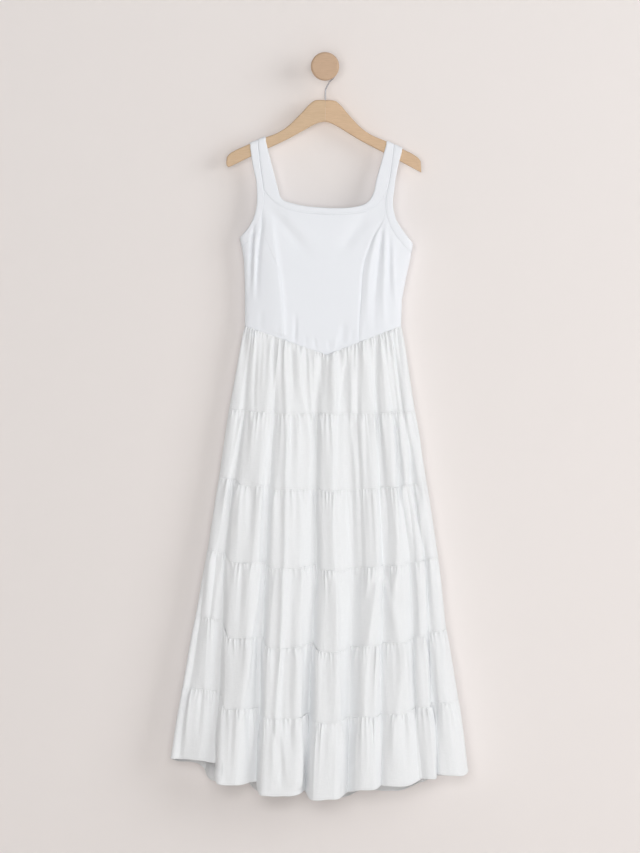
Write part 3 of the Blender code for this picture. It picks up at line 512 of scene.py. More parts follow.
# The tiers, top to bottom
TIERS = (
    Tier(3.5, 0.15, 6, 13.5, 11, (0.44, 0.175)),
    Tier(1.2, 0.30, 4, 12.5, 23, (0.50, 0.160)),
    Tier(1.4, 0.30, 4, 12, 37, (0.60, 0.165)),
    Tier(1.8, 0.30, 4.3, 12, 41, (0.70, 0.160)),
    Tier(2.4, 0.32, 5, 11.5, 59, (0.80, 0.150)),
    Tier(5, 0.55, 5.4, 11, 67, (0.92, 0.160)),
)

# Uneven sizes of the broad gathers, read in turn
GATHER_SIZES = (1, 0.7, 1.2, 0.85, 1.1, 0.6, 0.95, 1.25, 0.8, 1.05, 0.75)

# Half outline of the hanger from its middle outward: distance, height below its top
HANGER_UPPER = (
    (0, 0), (12, -0.2), (20.1, -0.9), (32.9, -10), (46, -25), (60.4, -40.3), (75, -55),
    (89, -65.7), (105, -74.5), (121, -80.7), (172, -103), (190, -111.8), (201, -119.5),
    (205.6, -126), (207.4, -149.4),
)
HANGER_LOWER = (
    (0, -45.8), (10, -47.4), (21.2, -52.2), (47, -67), (74.2, -82.7), (120.8, -106), (156.9, -124),
)
# The left tip, worn round at its lower corner
HANGER_WORN_TIP = ((206.6, -137), (205.6, -143), (202.4, -146.4), (197, -144.8))


class Side(Enum):
    """The front or the back of the dress."""

    FRONT = "front"
    BACK = "back"

    @property
    def facing(self) -> float:
        """1 toward the viewer, -1 toward the wall."""
        return 1.0 if self is Side.FRONT else -1.0


class Hand(Enum):
    """The left or the right of the dress as it is seen."""

    LEFT = "left"
    RIGHT = "right"


def smoothstep(value: Array, start: float, end: float) -> Array:
    """Ease from 0 at start to 1 at end.

    Args:
        value: Where to read the ease.
        start: The value that gives 0.
        end: The value that gives 1.

    Returns:
        The eased share, of the same shape as value.
    """
    share = np.clip((np.asarray(value, dtype=float) - start) / (end - start), 0.0, 1.0)
    return share * share * (3.0 - 2.0 * share)


def hermite(
    points: Array, slopes: Array, cell: Array, t: Array, span: Array
) -> Array:
    """Read a smooth line through table rows.

    Args:
        points: The rows of the table.
        slopes: The slope at each row.
        cell: The row before each wanted place.
        t: The share of the way to the next row.
        span: The length of the step to the next row.

    Returns:
        One row for each wanted place.
    """
    t, span = t[:, None], span[:, None]
    return (
        (2 * t**3 - 3 * t**2 + 1) * points[cell]
        + (t**3 - 2 * t**2 + t) * span * slopes[cell]
        + (-2 * t**3 + 3 * t**2) * points[cell + 1]
        + (t**3 - t**2) * span * slopes[cell + 1]
    )


def lengths_along(points: Array, axis: int = 0) -> Array:
    """Measure along a line, or along the rows or columns of a grid.

    Args:
        points: The line or grid of points.
        axis: 0 along a line or down a grid, 1 across a grid.

    Returns:
        The distance of each point from the first one.
    """
    steps = np.linalg.norm(np.diff(points, axis=axis), axis=-1)
    return np.insert(np.cumsum(steps, axis=axis), 0, 0.0, axis=axis)


def at_shares(line: Array, shares: Array) -> Array:
    """Place points at shares of the length of a line.

    Args:
        line: Rows of x and z.
        shares: Shares from 0 to 1.

    Returns:
        One row of x and z for each share.
    """
    lengths = lengths_along(line)
    return np.stack([np.interp(shares * lengths[-1], lengths, line[:, i]) for i in range(2)], axis=-1)


def bow(across: Array) -> Array:
    """Share of the full depth at a share of the half width, for a softly squared section."""
    return np.cbrt(np.clip(1.0 - np.abs(across) ** 3, 0.0, 1.0))


def resample(points: Sequence[Sequence[float]], count: int) -> Array:
    """Place points at even distances along a smooth line through a table.

    Args:
        points: The rows of the table, x and z first.
        count: How many points to place.

    Returns:
        The placed points.
    """
    table = np.array(points, dtype=float)
    lengths = lengths_along(table[:, :2])
    slopes = np.gradient(table, lengths, axis=0)
    wanted = np.linspace(0.0, lengths[-1], count)
    cell = np.clip(np.searchsorted(lengths, wanted, side="right") - 1, 0, len(lengths) - 2)
    span = lengths[cell + 1] - lengths[cell]
    return hermite(table, slopes, cell, (wanted - lengths[cell]) / span, span)


def smooth_rows(points: Sequence[Sequence[float]], rows: Array) -> Array:
    """Read a table between its rows along a smooth line.

    Args:
        points: The rows of the table.
        rows: The row numbers wanted, which may lie between rows.

    Returns:
        One row for each number.
    """
    table = np.array(points, dtype=float)
    slopes = np.gradient(table, axis=0)
    cell = np.clip(np.floor(rows).astype(int), 0, len(table) - 2)
    return hermite(table, slopes, cell, rows - cell, np.ones(len(rows)))


def unit(vectors: Array) -> Array:
    """Scale vectors to length 1."""
    return vectors / np.maximum(np.linalg.norm(vectors, axis=-1, keepdims=True), 1e-9)


def folds_at(x: Array, z: Array, folds: Sequence[Sequence[float]]) -> Array:
    """Add up the inward depth of soft folds.

    Args:
        x: Places across.
        z: Heights.
        folds: Rows of start x, start z, end x, end z, depth and half width.

    Returns:
        The depth at each place.
    """
    total = np.zeros(np.broadcast(x, z).shape)
    for x0, z0, x1, z1, depth, width in folds:
        run = np.array([x1 - x0, z1 - z0])
        share = ((x - x0) * run[0] + (z - z0) * run[1]) / (run @ run)
        inside = np.clip(share, 0.0, 1.0)
        away = np.hypot(x - x0 - inside * run[0], z - z0 - inside * run[1])
        fade = smoothstep(inside, -0.15, 0.2) * (1.0 - 0.75 * smoothstep(inside, 0.6, 1.0))
        total = total + depth * fade * np.exp(-((away / width) ** 2))
    return total


def seam_pucker(seam: int, x: Array) -> Array:
    """Small ups and downs of a gathered seam.

    Args:
        seam: Seam number, 0 at the waist and 6 at the hem.
        x: Places across.

    Returns:
        Heights in millimetres.
    """
    if seam == 6:
        return 0.35 * np.sin(x / 5.3) + 0.5 * np.sin(x / 13.0)
    if seam == 0:
        return 0.5 * np.sin(x / 1.7) * np.sin(x / 19.0) + 0.6 * np.sin(x / 3.1 + 1.0) * np.sin(x / 31.0 + 0.4)
    return (
        0.55 * np.sin(x / 1.9 + 1.7 * seam) * np.sin(x / 23.0 + seam)
        + 0.7 * np.sin(x / 8.3 + 2.1 * seam)
        + 0.8 * np.sin(x / 21.0 + 0.9 * seam)
    )


def seam_pull(seam: int, x: Array) -> Array:
    """How hard a gathered seam draws the cloth in.

    Args:
        seam: Seam number, 0 at the waist and 6 at the hem.
        x: Places across.

    Returns:
        Shares from 0.1 to 1.
    """
    waves = np.sin(x / 3.7 + 1.3 * seam) * np.sin(x / 11.0 + 0.7 * seam) + 0.6 * np.sin(x / 29.0 + 2.0 * seam)
    return np.clip(0.42 + 0.6 * waves, 0.1, 1.0)


@dataclass(frozen=True)
class SheetSpec:
    """What a cloth sheet is made of, where it stands and how it was cut."""

    name: str
    node: str
    slot: str
    thickness: float
    flat: tuple[float, float]
    held: str
    area: float | None = None
    rests_on: tuple[str, ...] = ()


def add_object(name: str, data: bpy.types.ID) -> Object:
    """Put something in the scene.

    Args:
        name: The object's name.
        data: Its mesh, curve, light or camera.

    Returns:
        The object.
    """
    thing = bpy.data.objects.new(name, data)
    bpy.context.scene.collection.objects.link(thing)
    return thing


class Shop:
    """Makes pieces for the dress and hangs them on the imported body."""

    @staticmethod
    def place(piece: Object, slot: str, *nodes: str) -> None:
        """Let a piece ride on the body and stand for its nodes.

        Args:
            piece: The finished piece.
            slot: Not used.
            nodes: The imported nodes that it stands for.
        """
        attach(piece, "root")
        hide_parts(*nodes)

    @staticmethod
    def link(name: str, mesh: Mesh, material: Material) -> Object:
        """Put a mesh in the scene with one material."""
        mesh.materials.append(material)
        return add_object(name, mesh)

    @staticmethod
    def hard(
        name: str, shape: bmesh.types.BMesh, rounded: Callable[[Vector], bool], material: Material,
        slot: str, node: str,
    ) -> None:
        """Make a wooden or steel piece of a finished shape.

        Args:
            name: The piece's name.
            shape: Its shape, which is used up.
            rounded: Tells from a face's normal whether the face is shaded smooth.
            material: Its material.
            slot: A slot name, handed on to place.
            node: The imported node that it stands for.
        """
        bmesh.ops.recalc_face_normals(shape, faces=shape.faces)
        for face in shape.faces:
            face.smooth = rounded(face.normal)
        mesh = bpy.data.meshes.new(name)
        shape.to_mesh(mesh)
        shape.free()
        Shop.place(Shop.link(name, mesh, material), slot, node)
        LOG.info("%s", name)

    @staticmethod
    def sheet(
        spec: SheetSpec,
        points: Array,
        outward: Array,
        cloth: Array,
        from_edge: Array,
        material: Material,
    ) -> Object:
        """Make a thin cloth shell through a grid of points.

        Args:
            spec: Names, thickness and cut of the sheet.
            points: Grid of points in millimetres, rows first.
            outward: Grid of directions that point out of the dress.
            cloth: Grid of places on the flat cloth, in metres.
            from_edge: Grid of distances to the stitched edge, in metres.
            material: The cloth's material.

        Returns:
            The sheet, placed.
        """
        rows, columns = points.shape[:2]
        shell = bmesh.new()
        bmesh.ops.create_grid(shell, x_segments=columns - 1, y_segments=rows - 1, size=1.0)
        mesh = bpy.data.meshes.new(spec.name)
        shell.to_mesh(mesh)
        shell.free()
        mesh.vertices.foreach_set("co", (points * MM).astype(np.float32).ravel())
        corners = np.empty(len(mesh.loops), dtype=np.int32)
        mesh.loops.foreach_get("vertex_index", corners)
        flat_cloth = mesh.uv_layers.new(name="flat_cloth")
        flat_cloth.data.foreach_set("uv", cloth.reshape(-1, 2)[corners].astype(np.float32).ravel())
        edge = mesh.attributes.new("from_edge", "FLOAT", "POINT")
        edge.data.foreach_set("value", from_edge.astype(np.float32).ravel())
        mesh.update()
        facing = np.empty(len(mesh.vertices) * 3, dtype=np.float32)
        mesh.vertices.foreach_get("normal", facing)
        if np.sum(facing.reshape(-1, 3) * outward.reshape(-1, 3)) < 0:
            mesh.flip_normals()
        mesh.shade_smooth()
        piece = Shop.link(spec.name, mesh, material)
        wall = piece.modifiers.new("cloth thickness", "SOLIDIFY")
        wall.thickness = spec.thickness * MM
        wall.offset = -1.0
        Shop.place(piece, spec.slot, spec.node)
        LOG.info("%s: %d x %d points", spec.name, rows, columns)
        return piece


@dataclass
class NodeBench:
    """Lays out shader nodes in a tree and joins them."""

    tree: NodeTree
    column: int = 0

    def add(self, kind: str, **values: object) -> Node:
        """Add a node.

        Args:
            kind: The node's type name.
            values: Its properties by name.

        Returns:
            The new node.
        """
        node = self.tree.nodes.new(kind)
        node.location = (180.0 * self.column, 0.0)
        self.column += 1
        for name, value in values.items():
            setattr(node, name, value)
        return node

    def join(self, source: NodeSocket, target: NodeSocket) -> None:
        """Join an output to an input."""
        self.tree.links.new(source, target)

    def feed(self, target: NodeSocket, value: object) -> None:
        """Give an input what it reads.

        Args:
            target: The input.
            value: A number, a colour of three parts or another node's output.
        """
        if isinstance(value, NodeSocket):
            self.join(value, target)
        else:
            target.default_value = (*value, 1.0) if isinstance(value, tuple) else value

    def math(self, operation: str, *terms: object) -> NodeSocket:
        """Work out a number.

        Args:
            operation: The math node's operation.
            terms: Its inputs, as numbers or outputs.

        Returns:
            The result's output.
        """
        node = self.add("ShaderNodeMath", operation=operation)
        for socket, term in zip(node.inputs, terms):
            self.feed(socket, term)
        return node.outputs[0]

    def times(self, *terms: object) -> NodeSocket:
        """Multiply two numbers."""
        return self.math("MULTIPLY", *terms)

    def plus(self, *terms: object) -> NodeSocket:
        """Add two numbers."""
        return self.math("ADD", *terms)

    def minus(self, *terms: object) -> NodeSocket:
        """Take the second number from the first."""
        return self.math("SUBTRACT", *terms)

    def wave(self, place: object, pitch: object) -> NodeSocket:
        """A sine that comes round once in each pitch."""
        return self.math("SINE", self.times(place, self.math("DIVIDE", 2 * math.pi, pitch)))

    def span(self, value: object, low: float, high: float, to_low: float, to_high: float) -> NodeSocket:
        """Map a range of numbers to another, held at its ends.

        Args:
            value: The number to map.
            low: The start of its range.
            high: The end of its range.
            to_low: What the start becomes.
            to_high: What the end becomes.

        Returns:
            The mapped number's output.
        """
        node = self.add("ShaderNodeMapRange", clamp=True)
        for socket, term in zip(node.inputs, (value, low, high, to_low, to_high)):
            self.feed(socket, term)
        return node.outputs[0]

    def object_place(self) -> NodeSocket:
        """Places in the piece's own coordinates."""
        return self.add("ShaderNodeTexCoord").outputs["Object"]

    def flat_cloth(self) -> NodeSocket:
        """Places on the flat cloth."""
        return self.add("ShaderNodeUVMap", uv_map="flat_cloth").outputs[0]

    def parts(self, place: NodeSocket) -> tuple[NodeSocket, NodeSocket]:
        """Split a place.

        Args:
            place: The place.

        Returns:
            Its part across and its part along.
        """
        node = self.add("ShaderNodeSeparateXYZ")
        self.join(place, node.inputs[0])
        return node.outputs[0], node.outputs[1]

    def scale(self, vector: NodeSocket, by: Triple) -> NodeSocket:
        """Stretch a place along its axes.

        Args:
            vector: The place.
            by: The factor of each axis.

        Returns:
            The stretched place's output.
        """
        node = self.add("ShaderNodeVectorMath", operation="MULTIPLY")
        self.join(vector, node.inputs[0])
        node.inputs[1].default_value = by
        return node.outputs[0]

    def noise(self, place: NodeSocket, scale: float, detail: float, rough: float = 0.5) -> NodeSocket:
        """Read a soft noise at a place.

        Args:
            place: Where it is read.
            scale: How fast it changes.
            detail: How many finer layers it has.
            rough: How strong the finer layers are.

        Returns:
            The noise's output, from 0 to 1.
        """
        node = self.add("ShaderNodeTexNoise")
        self.join(place, node.inputs["Vector"])
        node.inputs["Scale"].default_value = scale
        node.inputs["Detail"].default_value = detail
        node.inputs["Roughness"].default_value = rough
        return node.outputs[0]

    def blend(self, share: object, first: object, second: object) -> NodeSocket:
        """Mix two colours by a share.

        Args:
            share: How much there is of the second.
            first: The first colour.
            second: The second colour.

        Returns:
            The mixed colour's output.
        """
        node = self.add("ShaderNodeMix", data_type="RGBA")
        self.feed(node.inputs[0], share)
        self.feed(node.inputs[6], first)
        self.feed(node.inputs[7], second)
        return node.outputs[2]

    def place_group(self, group: NodeTree, **values: object) -> Node:
        """Place a shared effect and feed its inputs by name.

        Args:
            group: The shared effect.
            values: What each named input reads.

        Returns:
            The group's node.
        """
        node = self.add("ShaderNodeGroup", node_tree=group)
        for name, value in values.items():
            self.feed(node.inputs[name], value)
        return node


class Effects:
    """Shader effects that several finishes share, each built once."""

    def __init__(self) -> None:
        """Build every group."""
        self.weave = self._weave()
        self.rib = self._rib()
        self.crumple = self._crumple()
        self.stitches = self._stitches()
        self.grain = self._grain()
        self.drawn = self._drawn()

    @staticmethod
    def _start(
        name: str, inputs: dict[str, float | None], outputs: Sequence[str]
    ) -> tuple[NodeBench, Node, Node]:
        """Start a group.

        Args:
            name: The group's name.
            inputs: Default of each input, or None where it is a place.
            outputs: Name of each number that it puts out.

        Returns:
            The group's bench, its input node and its output node.
        """
        group = bpy.data.node_groups.new(name, "ShaderNodeTree")
        for title, default in inputs.items():
            kind = "NodeSocketVector" if default is None else "NodeSocketFloat"
            socket = group.interface.new_socket(name=title, in_out="INPUT", socket_type=kind)
            if default is not None:
                socket.default_value = default
        for title in outputs:
            group.interface.new_socket(name=title, in_out="OUTPUT", socket_type="NodeSocketFloat")
        bench = NodeBench(group)
        return bench, bench.add("NodeGroupInput"), bench.add("NodeGroupOutput")

    def _weave(self) -> NodeTree:
        """Plain weave with uneven threads, read on the flat cloth.

        Returns:
            The group.
        """
        bench, given, out = self._start("plain_weave", {"Cloth": None, "Pitch": 0.0009}, ("Height", "Tone"))
        cloth, pitch = given.outputs["Cloth"], given.outputs["Pitch"]
        across, along = bench.parts(cloth)
        threads = bench.times(bench.wave(across, pitch), bench.wave(along, pitch))
        slub = bench.noise(bench.scale(cloth, (60.0, 900.0, 1.0)), 1.0, 2.0)
        slub_down = bench.noise(bench.scale(cloth, (900.0, 60.0, 1.0)), 1.0, 2.0)
        uneven = bench.plus(slub, slub_down)
        bench.join(bench.plus(bench.times(threads, 0.35), uneven), out.inputs["Height"])
        bench.join(bench.span(uneven, 0.7, 1.3, 0.0, 1.0), out.inputs["Tone"])
        return bench.tree

    def _rib(self) -> NodeTree:
        """Very fine upright knit ribs, read on the flat cloth; Tone is low in the rib hollows, for painted
        shade.

        Returns:
            The group.
        """
        bench, given, out = self._start("fine_rib", {"Cloth": None, "Pitch": 0.0018}, ("Height", "Tone"))
        cloth = given.outputs["Cloth"]
        wander = bench.noise(bench.scale(cloth, (20.0, 6.0, 1.0)), 1.0, 2.0)
        across = bench.plus(bench.parts(cloth)[0], bench.times(wander, 0.0012))
        height = bench.span(bench.wave(across, given.outputs["Pitch"]), -1.0, 1.0, 0.0, 1.0)
        bench.join(height, out.inputs["Height"])
        # Tone follows the height, so the rib hollows get painted shade
        bench.join(bench.math("POWER", height, 0.6), out.inputs["Tone"])
        return bench.tree

    def _crumple(self) -> NodeTree:
        """Small soft creases of light cloth, longer down than across; Tone is 1 in their hollows, for painted
        shade.

        Returns:
            The group.
        """
        bench, given, out = self._start("soft_crumple", {"Cloth": None, "Size": 1.0}, ("Height", "Tone"))
        sized = bench.add("ShaderNodeVectorMath", operation="SCALE")
        bench.join(given.outputs["Cloth"], sized.inputs[0])
        bench.join(given.outputs["Size"], sized.inputs["Scale"])
        ridges = []
        for stretch, rough in (((85.0, 26.0, 1.0), 0.55), ((30.0, 60.0, 1.0), 0.6)):
            creases = bench.noise(bench.scale(sized.outputs[0], stretch), 1.0, 3.0, rough)
            ridges.append(bench.math("ABSOLUTE", bench.minus(creases, 0.5)))
        both = bench.plus(ridges[0], bench.times(ridges[1], 0.6))
        bench.join(both, out.inputs["Height"])
        # Tone marks the crease hollows, where the jersey paints shade
        bench.join(bench.span(both, 0.0, 0.3, 1.0, 0.0), out.inputs["Tone"])
        return bench.tree

    def _stitches(self) -> NodeTree:
        """A row of small stitches at a distance from an edge.

        Returns:
            The group.
        """
        inputs = {"Along": 0.0, "From Edge": 0.0, "Offset": 0.003, "Pitch": 0.0025}
        bench, given, out = self._start("stitch_row", inputs, ("Mask",))
        dash = bench.span(bench.wave(given.outputs["Along"], given.outputs["Pitch"]), -0.4, 0.2, 0.0, 1.0)
        away = bench.math("ABSOLUTE", bench.minus(given.outputs["From Edge"], given.outputs["Offset"]))
        near = bench.span(away, 0.0003, 0.0007, 1.0, 0.0)
        bench.join(bench.times(dash, near), out.inputs["Mask"])
        return bench.tree

    def _grain(self) -> NodeTree:
        """Wood grain along X with fine pores, read in place.

        Returns:
            The group.
        """
        bench, given, out = self._start("wood_grain", {"Place": None, "Figure": 1.0}, ("Tone", "Pores"))
        figure = bench.noise(bench.scale(given.outputs["Place"], (5.0, 60.0, 60.0)), 1.0, 4.0, 0.55)
        rings = bench.span(bench.math("SINE", bench.times(figure, 46.0)), -1.0, 1.0, 0.0, 1.0)
        rings = bench.times(rings, given.outputs["Figure"])
        pores = bench.noise(bench.scale(given.outputs["Place"], (60.0, 1400.0, 1400.0)), 1.0, 2.0)
        bench.join(bench.plus(bench.times(rings, 0.55), bench.times(figure, 0.5)), out.inputs["Tone"])
        bench.join(bench.span(pores, 0.42, 0.5, 1.0, 0.0), out.inputs["Pores"])
        return bench.tree

    def _drawn(self) -> NodeTree:
        """Faint marks of drawn wire, read in place.

        Returns:
            The group.
        """
        bench, given, out = self._start("drawn_wire", {"Place": None}, ("Marks",))
        marks = bench.noise(bench.scale(given.outputs["Place"], (900.0, 900.0, 120.0)), 1.0, 3.0)
        bench.join(bench.span(marks, 0.3, 0.7, 0.0, 1.0), out.inputs["Marks"])
        return bench.tree

    def stitch_mask(self, bench: NodeBench, along: NodeSocket, offset: float) -> NodeSocket:
        """Place the row of stitches beside a seam.

        Args:
            bench: The material's bench.
            along: Places along the seam.
            offset: The row's distance from the seam in metres.

        Returns:
            The output that is 1 on a stitch and 0 elsewhere.
        """
        edge = bench.add("ShaderNodeAttribute", attribute_name="from_edge").outputs["Fac"]
        row = bench.place_group(self.stitches, **{"Along": along, "From Edge": edge, "Offset": offset})
        return row.outputs["Mask"]


def start_material(
    name: str, roughness: float, specular: float, sheen: tuple[float, float] = (0.0, 0.5)
) -> tuple[Material, NodeBench, Node]:
    """Start a Principled material.

    Args:
        name: The material's name.
        roughness: Its roughness before any effect.
        specular: Its specular level.
        sheen: Weight and roughness of its sheen.

    Returns:
        The material, its bench and its shader node.
    """
    material = bpy.data.materials.new(name)
    material.use_nodes = True
    shader = material.node_tree.nodes["Principled BSDF"]
    shader.inputs["Roughness"].default_value = roughness
    shader.inputs["Specular IOR Level"].default_value = specular
    shader.inputs["Sheen Weight"].default_value, shader.inputs["Sheen Roughness"].default_value = sheen
    return material, NodeBench(material.node_tree, 1), shader


def add_bump(bench: NodeBench, shader: Node, height: NodeSocket, distance: float) -> None:
    """Raise a surface by a height.

    Args:
        bench: The material's bench.
        shader: The Principled node.
        height: The height's output, about 0 to 1.
        distance: The height of 1 in metres.
    """
    bump = bench.add("ShaderNodeBump")
    bump.inputs["Distance"].default_value = distance
    bench.join(height, bump.inputs["Height"])
    bench.join(bump.outputs["Normal"], shader.inputs["Normal"])


@dataclass(frozen=True)
class JerseyFinish:
    """Fine ribbed white jersey of the bodice and its bands, with painted shade in its rib and crease hollows.
    """

    name: str
    color: Triple = (0.85, 0.875, 0.915)
    # A darker copy of the jersey colour, used as painted shade in the rib and crease hollows
    painted_shade_color: Triple = (0.815, 0.84, 0.885)
    rib_pitch: float = 0.0018
    rib_height: float = 0.00008
    thread_color: Triple = (0.66, 0.68, 0.74)
    stitch_offset: float | None = None

    def material(self, effects: Effects) -> Material:
        """Build the material from the shared effects.

        Args:
            effects: The shared effects.

        Returns:
            The material.
        """
        material, bench, shader = start_material(self.name, 0.8, 0.25, (0.12, 0.5))
        cloth = bench.flat_cloth()
        rib = bench.place_group(effects.rib, Cloth=cloth, Pitch=self.rib_pitch)
        creases = bench.place_group(effects.crumple, Cloth=cloth, Size=0.35)
        # Painted shade: the colour moves toward the darker copy in the rib hollows, and a little along the
        # crease hollows
        share = bench.times(rib.outputs["Tone"], bench.span(creases.outputs["Tone"], 0.0, 1.0, 1.0, 0.8))
        color = bench.blend(share, self.painted_shade_color, self.color)
        height = bench.plus(rib.outputs["Height"], bench.times(creases.outputs["Height"], 2.2))
        if self.stitch_offset is not None:
            mask = effects.stitch_mask(bench, bench.parts(cloth)[1], self.stitch_offset)
            color = bench.blend(bench.times(mask, 0.35), color, self.thread_color)
            height = bench.minus(height, bench.times(mask, 2.0))
        bench.join(color, shader.inputs["Base Color"])
        add_bump(bench, shader, height, self.rib_height)
        return material


@dataclass(frozen=True)
class WovenFinish:
    """Light woven white cloth of the skirt."""

    name: str
    color: Triple = (0.845, 0.862, 0.878)
    shade_color: Triple = (0.815, 0.832, 0.848)
    thread_pitch: float = 0.0009
    crumple_height: float = 0.0011
    thread_color: Triple = (0.7, 0.7, 0.72)
    stitch_offset: float = 0.004

    def material(self, effects: Effects) -> Material:
        """Build the material from the shared effects.

        Args:
            effects: The shared effects.

        Returns:
            The material.
        """
        material, bench, shader = start_material(self.name, 0.88, 0.2, (0.08, 0.6))
        cloth = bench.flat_cloth()
        weave = bench.place_group(effects.weave, Cloth=cloth, Pitch=self.thread_pitch)
        creases = bench.place_group(effects.crumple, Cloth=cloth, Size=1.0)
        mask = effects.stitch_mask(bench, bench.parts(cloth)[0], self.stitch_offset)
        color = bench.blend(weave.outputs["Tone"], self.shade_color, self.color)
        bench.join(bench.blend(bench.times(mask, 0.3), color, self.thread_color), shader.inputs["Base Color"])
        height = bench.plus(creases.outputs["Height"], bench.times(weave.outputs["Height"], 0.05))
        height = bench.minus(height, bench.times(mask, 0.15))
        add_bump(bench, shader, height, self.crumple_height)
        return material


@dataclass(frozen=True)
class WoodFinish:
    """Lacquered pale wood with a fine grain."""

    name: str
    light: Triple
    dark: Triple
    figure: float = 1.0
    roughness: float = 0.5
    pore_depth: float = 0.00006

    def material(self, effects: Effects) -> Material:
        """Build the material from the shared effects.

        Args:
            effects: The shared effects.

        Returns:
            The material.
        """
        material, bench, shader = start_material(self.name, self.roughness, 0.35)
        grain = bench.place_group(effects.grain, Place=bench.object_place(), Figure=self.figure)
        color = bench.blend(grain.outputs["Tone"], self.light, self.dark)
        pored = tuple(0.82 * part for part in self.dark)
        color = bench.blend(bench.times(grain.outputs["Pores"], 0.35), color, pored)
        bench.join(color, shader.inputs["Base Color"])
        rough = bench.span(grain.outputs["Tone"], 0.0, 1.0, self.roughness - 0.06, self.roughness + 0.08)
        bench.join(rough, shader.inputs["Roughness"])
        add_bump(bench, shader, bench.minus(1.0, grain.outputs["Pores"]), self.pore_depth)
        return material


@dataclass(frozen=True)
class WireFinish:
    """Drawn steel wire, softly bright."""

    name: str
    color: Triple = (0.40, 0.40, 0.42)

    def material(self, effects: Effects) -> Material:
        """Build the material from the shared effects.

        Args:
            effects: The shared effects.

        Returns:
            The material.
        """
        material, bench, shader = start_material(self.name, 0.42, 0.5)
        shader.inputs["Metallic"].default_value = 1.0
        marks = bench.place_group(effects.drawn, Place=bench.object_place()).outputs["Marks"]
        duller = tuple(0.86 * part for part in self.color)
        bench.join(bench.blend(marks, self.color, duller), shader.inputs["Base Color"])
        bench.join(bench.span(marks, 0.0, 1.0, 0.38, 0.5), shader.inputs["Roughness"])
        return material


@dataclass(frozen=True)
class BodiceForm:
    """The surface that the bodice and its bands hang in, in millimetres."""

    depth: float = 15.0
    hang_y: float = -36.0
    strap_side: float = 7.4
    flat_above_z: float = -205.0
    full_below_z: float = -335.0
    back_neck_drop: float = 12.0
    princess_row: int = 2
    waist_tip_x: float = 3.4
    waist_fold_share: float = 0.15
    waist_fold_reach: float = 14.0

    def ring_widths(self, z: Array) -> tuple[Array, Array]:
        """Left and right side of the bodice at a height."""
        table = np.array(BODICE_WIDTHS)[::-1]
        return np.interp(z, table[:, 0], table[:, 1]), np.interp(z, table[:, 0], table[:, 2])

    def to_field(self, line: Array, side: Side) -> Array:
        """Turn a line of x, z into angle, z.

        Args:
            line: Rows of x and z.
            side: Front or back.

        Returns:
            Rows of angle round the bodice and z.
        """
        left, right = self.ring_widths(line[:, 1])
        share = np.clip((line[:, 0] - (left + right) / 2) / ((right - left) / 2), -1.0, 1.0)
        angle = np.arcsin(share)
        if side is Side.BACK:
            angle = np.pi - angle
        return np.stack([angle, line[:, 1]], axis=-1)

    def point(self, angle: Array, z: Array) -> Array:
        """Middle of the cloth.

        Args:
            angle: Angle round the bodice.
            z: Height.

        Returns:
            Points in millimetres.
        """
        angle, z = np.broadcast_arrays(np.asarray(angle, dtype=float), np.asarray(z, dtype=float))
        left, right = self.ring_widths(z)
        sine = np.sin(angle)
        facing = np.sign(np.cos(angle))
        round_share = facing * bow(sine)
        x = (left + right) / 2 + (right - left) / 2 * sine
        full = 1.0 - smoothstep(z, self.full_below_z, self.flat_above_z)
        depth = self.strap_side * facing * (1.0 - full) + self.depth * round_share * full
        depths = []
        for soft, long in (
            (BODICE_FOLDS_FRONT + BODICE_CREASES_FRONT, BODICE_LONG_FRONT),
            (BODICE_FOLDS_BACK + BODICE_CREASES_BACK, BODICE_LONG_BACK),
        ):
            depths.append(folds_at(x, z, soft) - sum(fold.at(x, z) for fold in long))
        above_waist = smoothstep(z - self.waist_z(x), 0.0, self.waist_fold_reach)
        strength = self.waist_fold_share + (1.0 - self.waist_fold_share) * above_waist
        folds = np.where(facing >= 0, *depths) * strength
        depth = depth - facing * folds * full * np.clip(1.6 * np.abs(round_share), 0.0, 1.0)
        return np.stack([x, self.hang_y - depth, z], axis=-1)

    def normal(self, angle: Array, z: Array) -> Array:
        """Outward direction of the cloth.

        Args:
            angle: Angle round the bodice.
            z: Height.

        Returns:
            Directions of length 1.
        """
        round_step = self.point(angle + 0.02, z) - self.point(angle - 0.02, z)
        down_step = self.point(angle, z + 2.0) - self.point(angle, z - 2.0)
        return unit(np.cross(round_step, down_step))

    def waist_z(self, x: Array) -> Array:
        """Height of the waist seam, a straight-sided point with its tip under the centre.

        Args:
            x: Place across.

        Returns:
            The seam's height there.
        """
        side, drop, left, right = SEAMS[0][:4]
        reach = np.where(np.asarray(x) < self.waist_tip_x, self.waist_tip_x - left, right - self.waist_tip_x)
        return side - drop * (1.0 - np.abs(np.asarray(x) - self.waist_tip_x) / reach)

    def neck_rows(self, side: Side, count: int) -> Array:
        """Edge and seam of the neck band between the straps, lowered at the back.

        Args:
            side: Front or back.
            count: How many rows.

        Returns:
            Rows of edge x, z and seam x, z.
        """
        rows = smooth_rows(NECK, np.linspace(0.0, len(NECK) - 1.0, count))
        if side is Side.BACK:
            stations = (0, 0.5, 1, 1.5, 2, 2.5, 3, 3.6, 4.3, 5.2, 6, 6.7, 7.3, 8, 8.5, 9, 9.5, 10, 10.5, 11)
            even = np.interp(np.linspace(0.0, 11.0, count), stations, np.linspace(0.0, np.pi, len(stations)))
            rows[:, [1, 3]] -= self.back_neck_drop * (np.sin(even) ** 2)[:, None]
        return rows

    def armhole_rows(self, hand: Hand, each: int) -> Array:
        """Edge and seam of an armhole band below the strap, with each row of its table cut into steps."""
        table = ARMHOLE_LEFT if hand is Hand.LEFT else ARMHOLE_RIGHT
        return smooth_rows(table, np.linspace(0.0, len(table) - 1.0, each * (len(table) - 1) + 1))

    def side_angle(self, hand: Hand, side: Side) -> float:
        """Angle of a side seam, counted on from the front or from the back.

        Args:
            hand: Left or right.
            side: Front or back.

        Returns:
            The angle.
        """
        if hand is Hand.RIGHT:
            return np.pi / 2
        return 1.5 * np.pi if side is Side.BACK else -np.pi / 2


